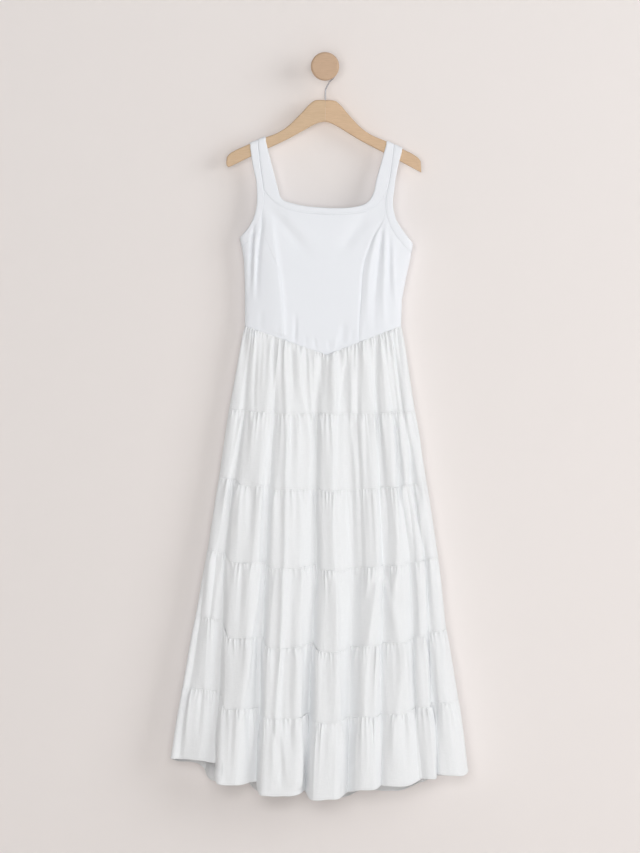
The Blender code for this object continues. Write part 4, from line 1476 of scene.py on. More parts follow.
def edge_rows(length: float, inner: int) -> Array:
    """Shares along a sheet, close together at both ends.

    Args:
        length: Length of the sheet in millimetres.
        inner: How many even steps lie between the close ones.

    Returns:
        Shares from 0 to 1.
    """
    near = np.array([0.0, 0.5, 1.2, 2.2, 3.6]) / length
    middle = np.linspace(5.5 / length, 1.0 - 5.5 / length, inner)
    return np.concatenate([near, middle, 1.0 - near[::-1]])


def turned_in(distance: Array, depth: float, width: float) -> Array:
    """How far a seam edge turns in.

    Args:
        distance: Distance from the edge in millimetres.
        depth: How deep the edge lies.
        width: How far from the edge the turn reaches.

    Returns:
        The depth at each distance.
    """
    return depth * np.clip(1.0 - distance / width, 0.0, 1.0) ** 2


@dataclass
class Bodice:
    """Centre and side panels of the front and the back, in fine jersey."""

    form: BodiceForm
    material: Material
    wall: float = 1.6
    thickness: float = 0.8
    seam_depth: float = 0.35
    seam_width: float = 1.5
    arm_steps: int = 24
    centre_down: tuple[float, int] = (320.0, 92)
    centre_across: tuple[float, int] = (240.0, 84)
    side_down: tuple[float, int] = (240.0, 70)
    side_across: tuple[float, int] = (80.0, 26)
    centre_cut: tuple[float, float] = (0.27, 0.325)
    centre_area: float = 0.062
    side_cut: tuple[float, float] = (0.11, 0.265)
    side_area: float = 0.0175

    def build(self) -> None:
        """Build the six panels."""
        for side in Side:
            self.build_centre(side)
            for hand in Hand:
                self.build_side(side, hand)

    def arm_seam(self, hand: Hand) -> tuple[Array, Array]:
        """Seam of the armhole band, parted where the princess seam starts.

        Args:
            hand: Left or right.

        Returns:
            Rows of x and z above the princess seam, and on from it.
        """
        rows = self.form.armhole_rows(hand, self.arm_steps)[:, 2:]
        start = self.arm_steps * self.form.princess_row
        return rows[: start + 1], rows[start:]

    def princess(self, hand: Hand, count: int) -> Array:
        """Princess seam from the armhole band down to the waist.

        Args:
            hand: Left or right.
            count: How many points.

        Returns:
            Rows of x and z.
        """
        line = resample(PRINCESS_LEFT if hand is Hand.LEFT else PRINCESS_RIGHT, count)
        line[-1, 1] = self.form.waist_z(line[-1, 0])
        return line

    def border(self, side: Side, hand: Hand, down: Array) -> Array:
        """Side border of a centre panel, from the strap down to the waist.

        Args:
            side: Front or back.
            hand: Left or right.
            down: Shares down the border.

        Returns:
            Rows of angle and z.
        """
        line = np.concatenate([self.arm_seam(hand)[0], self.princess(hand, 160)[1:]])
        return self.form.to_field(at_shares(line, down), side)

    def shape(self, field: Array, edges: Array) -> tuple[Array, Array, Array]:
        """Place a panel's grid.

        Args:
            field: Grid of angle and z.
            edges: Grid of distances to the nearest seam in millimetres.

        Returns:
            Points, outward directions and places on the flat cloth.
        """
        middle = self.form.point(field[..., 0], field[..., 1])
        outward = self.form.normal(field[..., 0], field[..., 1])
        lift = self.wall / 2 - turned_in(edges, self.seam_depth, self.seam_width)
        across = lengths_along(middle, axis=1)
        across = across - across.mean(axis=1, keepdims=True)
        cloth = np.stack([across, -middle[..., 2]], axis=-1) * MM
        return middle + outward * lift[..., None], outward, cloth

    @staticmethod
    def distances(points: Array) -> Array:
        """Distance of each grid point to the nearest border along its row or column.

        Args:
            points: The grid.

        Returns:
            A grid of distances.
        """
        left, top = lengths_along(points, axis=1), lengths_along(points, axis=0)
        return np.minimum(np.minimum(left, left[:, -1:] - left), np.minimum(top, top[-1:] - top))

    def finish(self, name: str, node: str, field: Array, cut: tuple[float, float], area: float) -> None:
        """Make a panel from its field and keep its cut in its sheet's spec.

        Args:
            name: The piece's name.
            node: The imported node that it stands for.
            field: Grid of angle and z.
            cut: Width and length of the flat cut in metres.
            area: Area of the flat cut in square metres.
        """
        edges = self.distances(self.form.point(field[..., 0], field[..., 1]))
        points, outward, cloth = self.shape(field, edges)
        above = np.maximum(points[..., 2] - self.form.waist_z(points[..., 0]), 0.0)
        points[..., 2] += seam_pucker(0, points[..., 0]) * np.exp(-above / PUCKER_REACH)
        spec = SheetSpec(name, node, "jersey", self.thickness, cut, "hung", area)
        Shop.sheet(spec, points, outward, cloth, edges * MM, self.material)

    def build_centre(self, side: Side) -> None:
        """Build the centre front or centre back.

        Args:
            side: Front or back.
        """
        down, across = edge_rows(*self.centre_down), edge_rows(*self.centre_across)
        left = self.border(side, Hand.LEFT, down)
        right = self.border(side, Hand.RIGHT, down)
        top = self.form.to_field(at_shares(self.form.neck_rows(side, 241)[:, 2:], across), side)
        x = PRINCESS_LEFT[-1][0] + across * (PRINCESS_RIGHT[-1][0] - PRINCESS_LEFT[-1][0])
        bottom = self.form.to_field(np.stack([x, self.form.waist_z(x)], axis=-1), side)
        field = fill_field(top, bottom, left, right, across, down)
        name = "centre_" + side.value
        self.finish(name + "_jersey", "bodice_" + name, field, self.centre_cut, self.centre_area)

    def build_side(self, side: Side, hand: Hand) -> None:
        """Build a side front or a side back.

        Args:
            side: Front or back.
            hand: Left or right.
        """
        down, across = edge_rows(*self.side_down), edge_rows(*self.side_across)
        corner = self.form.side_angle(hand, side)
        top = self.form.to_field(at_shares(self.arm_seam(hand)[1], across), side)
        top[-1, 0] = corner
        princess = self.princess(hand, 240)
        share = np.linspace(0.0, 1.0, len(princess))
        princess = np.stack([np.interp(down, share, princess[:, i]) for i in range(2)], axis=-1)
        inner = self.form.to_field(princess, side)
        seam_z = top[-1, 1] + down * (SEAMS[0][0] - top[-1, 1])
        outer = np.stack([np.full(len(down), corner), seam_z], axis=-1)
        angle = inner[-1, 0] + across * (corner - inner[-1, 0])
        left, right = self.form.ring_widths(np.full(len(across), SEAMS[0][0]))
        x = (left + right) / 2 + (right - left) / 2 * np.sin(angle)
        foot = np.stack([angle, self.form.waist_z(x)], axis=-1)
        foot[0], foot[-1] = inner[-1], outer[-1]
        field = fill_field(top, foot, inner, outer, across, down)
        name = "side_{}_{}".format(side.value, hand.value)
        self.finish(name + "_jersey", "bodice_" + name, field, self.side_cut, self.side_area)


def fill_field(
    top: Array, bottom: Array, left: Array, right: Array, across: Array, down: Array
) -> Array:
    """Fill the field between four border lines whose points are unevenly spaced.

    Args:
        top: Points of the upper border, left to right.
        bottom: Points of the lower border.
        left: Points of the left border, top to bottom.
        right: Points of the right border.
        across: The share across of each column.
        down: The share down of each row.

    Returns:
        A grid of points, rows first.
    """
    s, t = across[None, :, None], down[:, None, None]
    ruled = (1 - t) * top[None] + t * bottom[None] + (1 - s) * left[:, None] + s * right[:, None]
    corners = (1 - t) * ((1 - s) * top[0] + s * top[-1]) + t * ((1 - s) * bottom[0] + s * bottom[-1])
    return ruled - corners


@dataclass
class HangerForm:
    """The wooden hanger's outline and place, in millimetres."""

    thick: float = 12.0
    edge: float = 3.0
    top_z: float = -70.0
    hang_y: float = -36.0
    tilt_angle: float = math.radians(1.2)
    joint_x: float = 0.8

    def tilt(self, along: float, height: float) -> tuple[float, float]:
        """Place a point of the hanger, which leans down a little on the right.

        Args:
            along: Distance from the middle.
            height: Height above the top.

        Returns:
            Its x and z in the frame.
        """
        x = along * math.cos(self.tilt_angle) + height * math.sin(self.tilt_angle)
        z = -along * math.sin(self.tilt_angle) + height * math.cos(self.tilt_angle)
        return x, self.top_z + z

    def upper_edge(self, x: float) -> tuple[float, Array]:
        """Height of the upper edge and its outward direction.

        Args:
            x: Place across.

        Returns:
            The height, and the direction in x and z.
        """
        outline = [(-d, h) for d, h in HANGER_UPPER[::-1]] + list(HANGER_UPPER[1:])
        points = np.array([self.tilt(d, h) for d, h in outline])
        z = float(np.interp(x, points[:, 0], points[:, 1]))
        ahead = float(np.interp(x + 1.0, points[:, 0], points[:, 1]))
        behind = float(np.interp(x - 1.0, points[:, 0], points[:, 1]))
        slope = (ahead - behind) / 2.0
        return z, np.array([-slope, 1.0]) / math.hypot(slope, 1.0)


@dataclass
class Bands:
    """The neck band and the two armhole bands, each a strip that runs over the hanger.

    A strap crosses the hanger at three places x: its armhole edge, shared seam and neck edge.
    """

    form: BodiceForm
    hanger: HangerForm
    material: Material
    wall: float = 2.2
    thickness: float = 1.3
    strap_turn: float = 4.4
    crown: float = 0.35
    across: tuple[float, ...] = (0.0, 0.04, 0.1, 0.2, 0.35, 0.5, 0.65, 0.8, 0.9, 0.96, 1.0)
    neck_cut: tuple[float, float] = (0.028, 1.25)
    neck_area: float = 0.026
    armhole_cut: tuple[float, float] = (0.020, 0.44)
    strap_left_x: Triple = (-159.6, -142.6, -125.6)
    strap_right_x: Triple = (164.3, 146.3, 130.4)

    def over_hanger(self, columns: tuple[float, float]) -> tuple[Array, Array]:
        """A strap's turn over the hanger, front to back.

        Args:
            columns: Places x of the strip's edge and of its seam.

        Returns:
            Grids of points and outward directions.
        """
        angles = np.linspace(180.0, 90.0, 9)[1:]
        profile = [(angle, -1.0) for angle in angles] + [(180.0 - angle, 1.0) for angle in angles[::-1]]
        places = columns[0] + (columns[1] - columns[0]) * np.array(self.across)
        flat = self.hanger.thick / 2 - self.hanger.edge
        points, outward = [], []
        for angle, side in profile[:-1]:
            cos, sin = math.cos(math.radians(angle)), math.sin(math.radians(angle))
            y = self.form.hang_y + side * flat + self.strap_turn * cos
            row, facing = [], []
            for x in places:
                z, normal = self.hanger.upper_edge(float(x))
                up = -self.hanger.edge + self.strap_turn * sin
                row.append((x + normal[0] * up, y, z + normal[1] * up))
                facing.append((normal[0] * sin, cos, normal[1] * sin))
            points.append(row)
            outward.append(facing)
        return np.array(points), np.array(outward)

    def run(
        self, edge: Array, seam: Array, side: Side, corner: float | None = None
    ) -> tuple[Array, Array]:
        """A strip laid in the bodice's surface.

        Args:
            edge: Rows of x, z along its free edge.
            seam: Rows of x, z along its seam.
            side: Front or back.
            corner: Angle of the side seam that its last row ends at.

        Returns:
            Grids of points and outward directions.
        """
        a, b = self.form.to_field(edge, side), self.form.to_field(seam, side)
        if corner is not None:
            a[-1, 0] = corner
            b[-1, 0] = corner
        share = np.array(self.across)[None, :, None]
        field = a[:, None] * (1.0 - share) + b[:, None] * share
        return self.form.point(field[..., 0], field[..., 1]), self.form.normal(field[..., 0], field[..., 1])

    def strap_rows(self, hand: Hand, edge_at: int, count: int) -> Array:
        """Edge and shared seam of one strip of a strap, top to bottom.

        Args:
            hand: Left or right.
            edge_at: Column of the strap's table where the edge's x is.
            count: How many rows.

        Returns:
            Rows of edge x, z and seam x, z.
        """
        table = STRAP_LEFT if hand is Hand.LEFT else STRAP_RIGHT
        rows = smooth_rows(table, np.linspace(0.0, len(table) - 1.0, count))
        return rows[:, [edge_at, edge_at + 1, 2, 3]]

    def finish(self, spec: SheetSpec, runs: Sequence[tuple[Array, Array]]) -> None:
        """Make a band through its runs.

        Args:
            spec: Names, thickness and cut of the band.
            runs: Grids of points and outward directions, in order.
        """
        points = np.concatenate([part[0] for part in runs])
        outward = unit(np.concatenate([part[1] for part in runs]))
        share = np.array(self.across)
        width = np.linalg.norm(points[:, -1] - points[:, 0], axis=-1)[:, None]
        from_edge, from_seam = share[None] * width, (1.0 - share[None]) * width
        lift = self.wall / 2 + self.crown * (1.0 - (2.0 * share[None] - 1.0) ** 2)
        strap = smoothstep(points[:, :1, 2], -290.0, -235.0)
        lift = lift - turned_in(from_edge, 1.5, 2.2) - turned_in(from_seam, 1.0, 2.0) * (0.15 + 0.85 * strap)
        inward = unit(points[:, -1] - points[:, 0])[:, None]
        middle = points + inward * turned_in(from_edge, 0.3, 2.2)[..., None]
        along = lengths_along(points[:, 0])[:, None] * np.ones_like(from_edge)
        cloth = np.stack([from_edge, along], axis=-1) * MM
        Shop.sheet(spec, middle + outward * lift[..., None], outward, cloth, from_seam * MM, self.material)

    def build(self) -> None:
        """Build the three bands."""
        halves = {}
        for side in Side:
            rows = np.concatenate([
                self.strap_rows(Hand.LEFT, 4, 30)[:-1],
                self.form.neck_rows(side, 121),
                self.strap_rows(Hand.RIGHT, 4, 30)[-2::-1],
            ])
            halves[side] = self.run(rows[:, :2], rows[:, 2:], side)
        front, back = halves[Side.FRONT], halves[Side.BACK]
        middle = len(front[0]) // 2
        over_left = self.over_hanger(self.strap_left_x[:0:-1])
        over_right = self.over_hanger(self.strap_right_x[:0:-1])
        runs = [
            (back[0][middle::-1], back[1][middle::-1]),
            (over_left[0][::-1], over_left[1][::-1]),
            front,
            over_right,
            (back[0][: middle - 1 : -1], back[1][: middle - 1 : -1]),
        ]
        spec = SheetSpec(
            "neck_band_jersey", "neck_band", "jersey_band", self.thickness,
            self.neck_cut, "hung", self.neck_area, ("hanger_left_wood", "hanger_right_wood"),
        )
        self.finish(spec, runs)
        for hand, top in ((Hand.LEFT, self.strap_left_x[:2]), (Hand.RIGHT, self.strap_right_x[:2])):
            rows = np.concatenate([self.strap_rows(hand, 0, 30)[:-1], self.form.armhole_rows(hand, 12)])
            front, back = (
                self.run(rows[:, :2], rows[:, 2:], side, self.form.side_angle(hand, side)) for side in Side
            )
            word = hand.value
            spec = SheetSpec(
                "armhole_{}_jersey".format(word), "armhole_band_" + word, "jersey_band", self.thickness,
                self.armhole_cut, "hung", None, ("hanger_{}_wood".format(word),),
            )
            self.finish(spec, [(front[0][::-1], front[1][::-1]), self.over_hanger(top), back])


@dataclass
class Skirt:
    """Six gathered tiers, each a front and a back with side seams."""

    material: Material
    form: BodiceForm
    wall: float = 1.6
    thickness: float = 0.6
    column_pitch: float = 1.35
    column_limits: tuple[int, int] = (320, 640)
    gather_size: float = 1.9
    waist_power: float = 1.2
    front_powers: tuple[float, ...] = (
        1.2, 1.4, 9.0, 0.8, 9.0, 3.0, 6.0, 1.3, 2.4, 1.5, 1.8, 1.6, 1.8, 1.6, 1.6, 1.2,
    )
    back_powers: tuple[float, ...] = (1.2, 1.8, 4.0, 1.3, 3.0, 1.4, 2.4, 1.6, 4.5, 1.3, 2.0, 1.2)
    side_drops: tuple[float, float] = (0.0, 0.30)
    level_length: float = 155.0
    hem_roll: float = 0.9
    cut_apart: float = 0.2
    rows: tuple[float, ...] = (
        0.0, 0.6, 1.4, 2.6, 4.2, 6.4, 9.0, 12.2, 16.0, 20.5, 26.0, 33.0, 42.0, 53.0, 66.0, 80.0,
        95.0, 110.0, 124.0, 136.0, 144.5, 149.5, 152.4, 154.0, 155.0,
    )

    def lines(self, side: Side) -> tuple[tuple[float, ...], ...]:
        """The main folds of one side."""
        return FOLDS_FRONT if side is Side.FRONT else FOLDS_BACK

    def ring(self, level: float, side: Side, steps: Array) -> Array:
        """Points of one half of the skirt at a level.

        Args:
            level: Seam number, 0 at the waist and 6 at the hem.
            side: Front or back.
            steps: Places between the main folds, 0 at the left side.

        Returns:
            Points in millimetres.
        """
        seams = np.array(SEAMS)
        side_z, drop, left, right, middle_y, depth, size = (
            np.interp(level, np.arange(len(seams)), seams[:, i]) for i in range(seams.shape[1])
        )
        table = np.array(self.lines(side))
        start, share = (0, level / 3.0) if level <= 3.0 else (1, (level - 3.0) / 3.0)
        x = table[:, start] + (table[:, start + 1] - table[:, start]) * share
        height = table[:, 3 + start] + (table[:, 4 + start] - table[:, 3 + start]) * share
        centre, reach = (left + right) / 2, (right - left) / 2
        angle = np.arcsin(np.concatenate([[-1.0], (x - centre) / reach, [1.0]]))
        height = np.concatenate([[0.0], height, [0.0]])
        drops = np.concatenate([[self.side_drops[0]], table[:, 6], [self.side_drops[1]]])
        cell = np.clip(np.floor(steps).astype(int), 0, len(angle) - 2)
        hem_powers = np.array(self.front_powers if side is Side.FRONT else self.back_powers)
        power = self.waist_power + (hem_powers[cell] - self.waist_power) * level / 6.0
        t = np.clip(steps - cell, 0.0, 1.0)
        falling = height[cell] > height[cell + 1]
        ease = np.where(falling, 1 - np.cos(np.pi * t**power), 1 + np.cos(np.pi * (1 - t) ** power)) / 2
        u = np.sin(angle[cell] + (angle[cell + 1] - angle[cell]) * t)
        fold = height[cell] + (height[cell + 1] - height[cell]) * ease
        fall = drops[cell] + (drops[cell + 1] - drops[cell]) * ease
        round_share = bow(u)
        swing = size * fold * np.clip(1.6 * round_share, 0.0, 1.0)
        y = middle_y - side.facing * (depth * round_share + swing)
        z = side_z - drop * fall
        if level > 5.0 and side is Side.FRONT:
            lift = np.array(HEM_LIFT_FRONT)
            z = z + np.interp(centre + reach * u, lift[:, 0], lift[:, 1]) * (level - 5.0) ** 2
        if level < 1.0:
            top = self.form.waist_z(SEAMS[0][2] + (u + 1) / 2 * (SEAMS[0][3] - SEAMS[0][2]))
            low = SEAMS[1][0] - SEAMS[1][1] * fall
            z = top + (low - top) * level
        return np.stack([centre + reach * u, y, z], axis=-1)

    def even_steps(self, level: float, side: Side) -> tuple[Array, float]:
        """Places between the folds that lie evenly along the cloth.

        Args:
            level: The level at which they are even.
            side: Front or back.

        Returns:
            The places and the length of the cloth's line.
        """
        dense = np.linspace(0.0, len(self.lines(side)) + 1.0, 4000)
        points = self.ring(level, side, dense)[:, :2]
        lengths = lengths_along(points)
        count = int(np.clip(lengths[-1] / self.column_pitch, *self.column_limits))
        even = np.linspace(0.0, lengths[-1], count)
        mixed = 0.85 * np.interp(even, lengths, dense) + 0.15 * np.linspace(0.0, dense[-1], count)
        return mixed, float(lengths[-1])

    def outward(self, points: Array, side: Side) -> Array:
        """Level directions that point out of the skirt.

        Args:
            points: Points of one level, left to right.
            side: Front or back.

        Returns:
            Directions of length 1.
        """
        step = np.gradient(points[:, :2], axis=0)
        step[0] = (0.0, -side.facing)
        step[-1] = (0.0, side.facing)
        direction = np.stack([step[:, 1], -step[:, 0], np.zeros(len(points))], axis=-1) * side.facing
        return unit(direction)

    def fine_gathers(self, tier: int, side: Side, along: Array, down: Array) -> Array:
        """Small gathers under a seam, uneven in length, height and spacing.

        Args:
            tier: Tier number from 0.
            side: Front or back.
            along: Place along the cloth's line of each column, in millimetres.
            down: Distance below the seam of each row, in millimetres.

        Returns:
            Grid of heights in millimetres.
        """
        made = TIERS[tier]
        chance = np.random.default_rng(made.seed + (0 if side is Side.FRONT else 500))
        total = np.zeros((len(down), len(along)))
        place = 4.0
        end = along[-1] - 4.0
        while place < end:
            group = 0.75 + 0.45 * math.sin(place / 17.0 + tier) * math.sin(place / 41.0 + 2.0 * tier)
            height = made.gather_height * group * chance.uniform(0.35, 1.25)
            width = chance.uniform(1.4, 2.5)
            length = 9.0 + 44.0 * chance.random() ** 2.5
            lean = chance.uniform(-0.10, 0.10)
            rise = smoothstep(down, -1.5, 4.5) * np.exp(-((down / length) ** 1.3))
            offset = (along[None] - place - lean * down[:, None]) / (width * (1.0 + down[:, None] / 60.0))
            total += height * rise[:, None] * np.exp(-(offset**2))
            place += 100.0 / made.gathers_in_100 * chance.uniform(0.6, 1.45)
        place = 12.0
        while place < end:
            height = chance.uniform(0.9, 2.2) * chance.choice([1.0, -1.0, 1.0])
            width = chance.uniform(3.6, 6.5)
            length = chance.uniform(35.0, 120.0)
            lean = chance.uniform(-0.08, 0.08)
            rise = smoothstep(down, 0.0, 26.0) * np.exp(-((down / length) ** 2))
            offset = (along[None] - place - lean * down[:, None]) / width
            total += height * rise[:, None] * np.exp(-(offset**2))
            place += chance.uniform(12.0, 30.0)
        ends = smoothstep(along, 0.0, 10.0) * (1.0 - smoothstep(along, along[-1] - 10.0, along[-1]))
        pulled_in = 0.22 * made.gather_height * smoothstep(down, 0.0, 4.0) * np.exp(-down / 18.0)
        return (total - pulled_in[:, None]) * ends[None]

    def creases(self, side: Side, levels: Array, x: Array, z: Array) -> Array:
        """Heights of the creases that are placed one by one.

        Args:
            side: Front or back.
            levels: Level of each row.
            x: Grid of places across.
            z: Grid of heights of those places.

        Returns:
            Grid of heights in millimetres.
        """
        table = SKIRT_CREASES_FRONT if side is Side.FRONT else SKIRT_CREASES_BACK
        total = np.zeros_like(x)
        high = levels[:, None] * self.level_length
        for level0, x0, level1, x1, height, width in table:
            z0, z1 = level0 * self.level_length, level1 * self.level_length
            share = (high - z0) / (z1 - z0)
            inside = np.clip(share, 0.0, 1.0)
            away = np.hypot(x - x0 - inside * (x1 - x0), (share - inside) * (z1 - z0) * 0.6)
            fade = smoothstep(inside, -0.12, 0.16) * (1.0 - 0.7 * smoothstep(inside, 0.55, 1.0))
            total += height * fade * np.exp(-((away / width) ** 2))
        for fold in SKIRT_LONG_FRONT if side is Side.FRONT else SKIRT_LONG_BACK:
            total += fold.at(x, z)
        return total

    def build_half(self, tier: int, side: Side) -> None:
        """Build the front or the back of one tier.

        Args:
            tier: Tier number from 0.
            side: Front or back.
        """
        steps, length = self.even_steps(tier + 0.5, side)
        down = np.array(self.rows)
        shares = down / down[-1]
        levels = tier + shares
        along = np.linspace(0.0, length, len(steps))
        rings = np.array([self.ring(level, side, steps) for level in levels])
        outward = np.array([self.outward(ring, side) for ring in rings])
        made, lowest = TIERS[tier], tier == len(TIERS) - 1
        rise = np.sin(np.pi / 2 * np.clip(shares / made.full_at, 0.0, 1.0))
        fall = (0.35 if lowest else 1.0) * smoothstep(shares, made.full_at, 1.0)
        puff = made.puff * rise * (1.0 - fall)
        broad = np.interp(shares, [0.0, 0.13, 0.5, 1.0], [0.35, 1.0, 0.4, 0.0]) * self.gather_size
        count = len(self.lines(side)) + 1
        sizes = np.array([GATHER_SIZES[(i + 3 * tier) % len(GATHER_SIZES)] for i in range(count)] + [0.0])
        wave = np.sin(2 * np.pi * (steps + 0.5 * (tier % 2))) * sizes[np.floor(steps).astype(int)]
        wave *= smoothstep(steps, 0.2, 0.6) * (1.0 - smoothstep(steps, count - 0.6, count - 0.2))
        side_fade = smoothstep(steps, 0.0, 0.5) * (1.0 - smoothstep(steps, count - 0.5, count))
        lift = puff[:, None] * (0.4 + 0.6 * side_fade)[None] + broad[:, None] * wave[None]
        lift = lift + self.creases(side, levels, rings[..., 0], rings[..., 2]) * side_fade[None]
        lift = lift + self.fine_gathers(tier, side, along, down)
        low = down[-1] - down
        groove = turned_in(down, 0.3, 1.6)[:, None] * seam_pull(tier, rings[0, :, 0])[None]
        lift = lift + self.wall / 2 - groove
        if lowest:
            lift = lift + self.hem_roll * np.exp(-(((low - 2.2) / 1.7) ** 2))[:, None]
        else:
            lift = lift - turned_in(low, 0.18, 1.2)[:, None] * seam_pull(tier + 1, rings[-1, :, 0])[None]
        points = rings + outward * lift[..., None]
        top = seam_pucker(tier, rings[0, :, 0])[None] * np.exp(-down / PUCKER_REACH)[:, None]
        bottom = seam_pucker(tier + 1, rings[-1, :, 0])[None] * np.exp(-low / PUCKER_REACH)[:, None]
        points[..., 2] += top + bottom
        cut_across = (along / length * made.cut[0])[None]
        cut_down = -(tier * self.cut_apart + shares * made.cut[1])[:, None]
        cloth = np.stack(np.broadcast_arrays(cut_across, cut_down), axis=-1)
        name = "tier_{}_{}".format(tier + 1, side.value)
        spec = SheetSpec(
            name + "_cloth", "skirt_" + name, "skirt_cloth", self.thickness, made.cut, "gathered"
        )
        from_seam = low if lowest else np.minimum(low, down)
        from_edge = np.broadcast_to(from_seam[:, None] * MM, points.shape[:2])
        Shop.sheet(spec, points, outward, cloth, from_edge, self.material)

    def build(self) -> None:
        """Build the twelve half tiers."""
        for tier in range(len(TIERS)):
            for side in Side:
                self.build_half(tier, side)


@dataclass
class Hanger:
    """The two wooden halves of the hanger, glued at the middle."""

    form: HangerForm
    left_material: Material
    right_material: Material
    bevel_steps: int = 4
    half_gap: float = 0.1

    def outline(self) -> Array:
        """Smooth outline of the whole hanger, its left tip rounded below.

        Returns:
            Rows of x and z, round the board.
        """
        upper = resample(HANGER_UPPER[:-1], 70)
        lower = resample(HANGER_LOWER, 36)
        right = np.concatenate([upper, np.array([HANGER_UPPER[-1]]), lower[::-1]])
        worn = np.concatenate([upper, np.array(HANGER_WORN_TIP), lower[::-1]])
        left = worn[::-1][1:-1] * np.array([-1.0, 1.0])
        return np.array([self.form.tilt(d, h) for d, h in np.concatenate([right, left])])

    def build_half(self, hand: Hand, material: Material) -> None:
        """Cut one half from the whole board and round its edges.

        Args:
            hand: Left or right.
            material: The half's wood.
        """
        board = bmesh.new()
        front_y = (self.form.hang_y - self.form.thick / 2) * MM
        rim = [board.verts.new((x * MM, front_y, z * MM)) for x, z in self.outline()]
        face = board.faces.new(rim)
        raised = bmesh.ops.extrude_face_region(board, geom=[face])
        moved = [item for item in raised["geom"] if isinstance(item, bmesh.types.BMVert)]
        bmesh.ops.translate(board, verts=moved, vec=Vector((0.0, self.form.thick * MM, 0.0)))
        level = [edge for edge in board.edges if abs(edge.verts[0].co.y - edge.verts[1].co.y) < 1e-6]
        bmesh.ops.bevel(
            board, geom=level, offset=self.form.edge * MM, segments=self.bevel_steps, profile=0.5,
            affect="EDGES", material=-1,
        )
        sign = 1.0 if hand is Hand.LEFT else -1.0
        joint = Vector((self.form.joint_x * MM - sign * self.half_gap * MM, 0.0, 0.0))
        cut = bmesh.ops.bisect_plane(
            board, geom=list(board.verts) + list(board.edges) + list(board.faces),
            plane_co=joint, plane_no=Vector((sign, 0.0, 0.0)), clear_outer=True,
        )
        rim = [item for item in cut["geom_cut"] if isinstance(item, bmesh.types.BMEdge)]
        bmesh.ops.holes_fill(board, edges=rim, sides=0)
        Shop.hard(
            "hanger_{}_wood".format(hand.value), board,
            lambda normal: abs(normal.y) < 0.999 and abs(normal.x) < 0.999, material,
            "hanger_pale_wood" if hand is Hand.LEFT else "hanger_warm_wood", "hanger_half_" + hand.value,
        )

    def build(self) -> None:
        """Build both halves."""
        self.build_half(Hand.LEFT, self.left_material)
        self.build_half(Hand.RIGHT, self.right_material)


@dataclass
class Hook:
    """The steel wire hook: its shank stands in the hanger and its loop lies over the knob's stem."""

    material: Material
    hang_y: float = -36.0
    wire_radius: float = 1.5
    stem_radius: float = 10.0
    loop_radius: float = 22.0
    shank: tuple[tuple[float, float], ...] = (
        (0.8, -84.0), (0.8, -70.0), (0.8, -53.0), (1.5, -47.5), (3.6, -42.4), (6.4, -37.4), (9.8, -31.6),
    )
    loop_start: float = -52.5
    loop_step: float = 15.0
    loop_steps: int = 18

    def path(self) -> Array:
        """Points of the wire from the shank to the loop's end.

        Returns:
            Rows of x and z.
        """
        crown = self.loop_radius * math.cos(math.radians(self.loop_step / 2))
        centre_z = self.stem_radius + self.wire_radius - crown
        path = list(self.shank)
        for step in range(self.loop_steps):
            turn = math.radians(self.loop_start + self.loop_step * step)
            path.append((self.loop_radius * math.cos(turn), centre_z + self.loop_radius * math.sin(turn)))
        return resample(path, 120)

    def build(self) -> None:
        """Sweep the wire along its path."""
        curve = bpy.data.curves.new("wire_hook_path", "CURVE")
        curve.dimensions = "3D"
        curve.bevel_depth = self.wire_radius * MM
        curve.bevel_resolution = 4
        curve.use_fill_caps = True
        points = self.path()
        spline = curve.splines.new("POLY")
        spline.points.add(len(points) - 1)
        for point, (x, z) in zip(spline.points, points):
            point.co = (x * MM, self.hang_y * MM, z * MM, 1.0)
        holder = add_object("wire_hook_path", curve)
        bpy.context.view_layer.update()
        swept = bpy.data.meshes.new_from_object(holder.evaluated_get(bpy.context.evaluated_depsgraph_get()))
        bpy.data.objects.remove(holder, do_unlink=True)
        wire = bmesh.new()
        wire.from_mesh(swept)
        bpy.data.meshes.remove(swept)
        bmesh.ops.remove_doubles(wire, verts=wire.verts, dist=1e-6)
        Shop.hard("wire_hook", wire, lambda normal: True, self.material, "steel_wire", "hanger_hook")


@dataclass
class Knob:
    """The turned wooden knob: a round disc with softened edges on a stem that stands on the wall."""

    material: Material
    radius: float = 30.0
    stem_radius: float = 10.0
    front_y: float = -68.0
    back_y: float = -50.0
    front_round: float = 5.0
    back_round: float = 4.0
    turns: int = 96

    def profile(self) -> list[tuple[float, float]]:
        """Half section of the knob.

        Returns:
            Rows of distance from the axis and place y, from the face's middle to the wall.
        """
        front, back = self.front_round, self.back_round
        line = [(0.0, self.front_y), (self.radius * 0.5, self.front_y)]
        for angle in np.linspace(0.0, math.pi / 2, 8):
            r = self.radius - front + front * math.sin(angle)
            line.append((r, self.front_y + front - front * math.cos(angle)))
        for angle in np.linspace(0.0, math.pi / 2, 7):
            r = self.radius - back + back * math.cos(angle)
            line.append((r, self.back_y - back + back * math.sin(angle)))
        return line + [
            (self.stem_radius + 1.0, self.back_y), (self.stem_radius, self.back_y + 1.0),
            (self.stem_radius, -0.6), (self.stem_radius - 0.6, 0.0), (0.0, 0.0),
        ]

    def build(self) -> None:
        """Turn the section about its axis."""
        turned = bmesh.new()
        verts = [turned.verts.new((r * MM, y * MM, 0.0)) for r, y in self.profile()]
        edges = [turned.edges.new(pair) for pair in zip(verts, verts[1:])]
        bmesh.ops.spin(
            turned, geom=verts + edges, cent=Vector(), axis=Vector((0.0, 1.0, 0.0)), dvec=Vector(),
            angle=2 * math.pi, steps=self.turns, use_merge=True, use_normal_flip=False, use_duplicate=False,
        )
        bmesh.ops.remove_doubles(turned, verts=turned.verts, dist=1e-6)
        Shop.hard(
            "round_knob", turned, lambda normal: abs(normal.y) < 0.9999,
            self.material, "knob_wood", "wall_knob",
        )


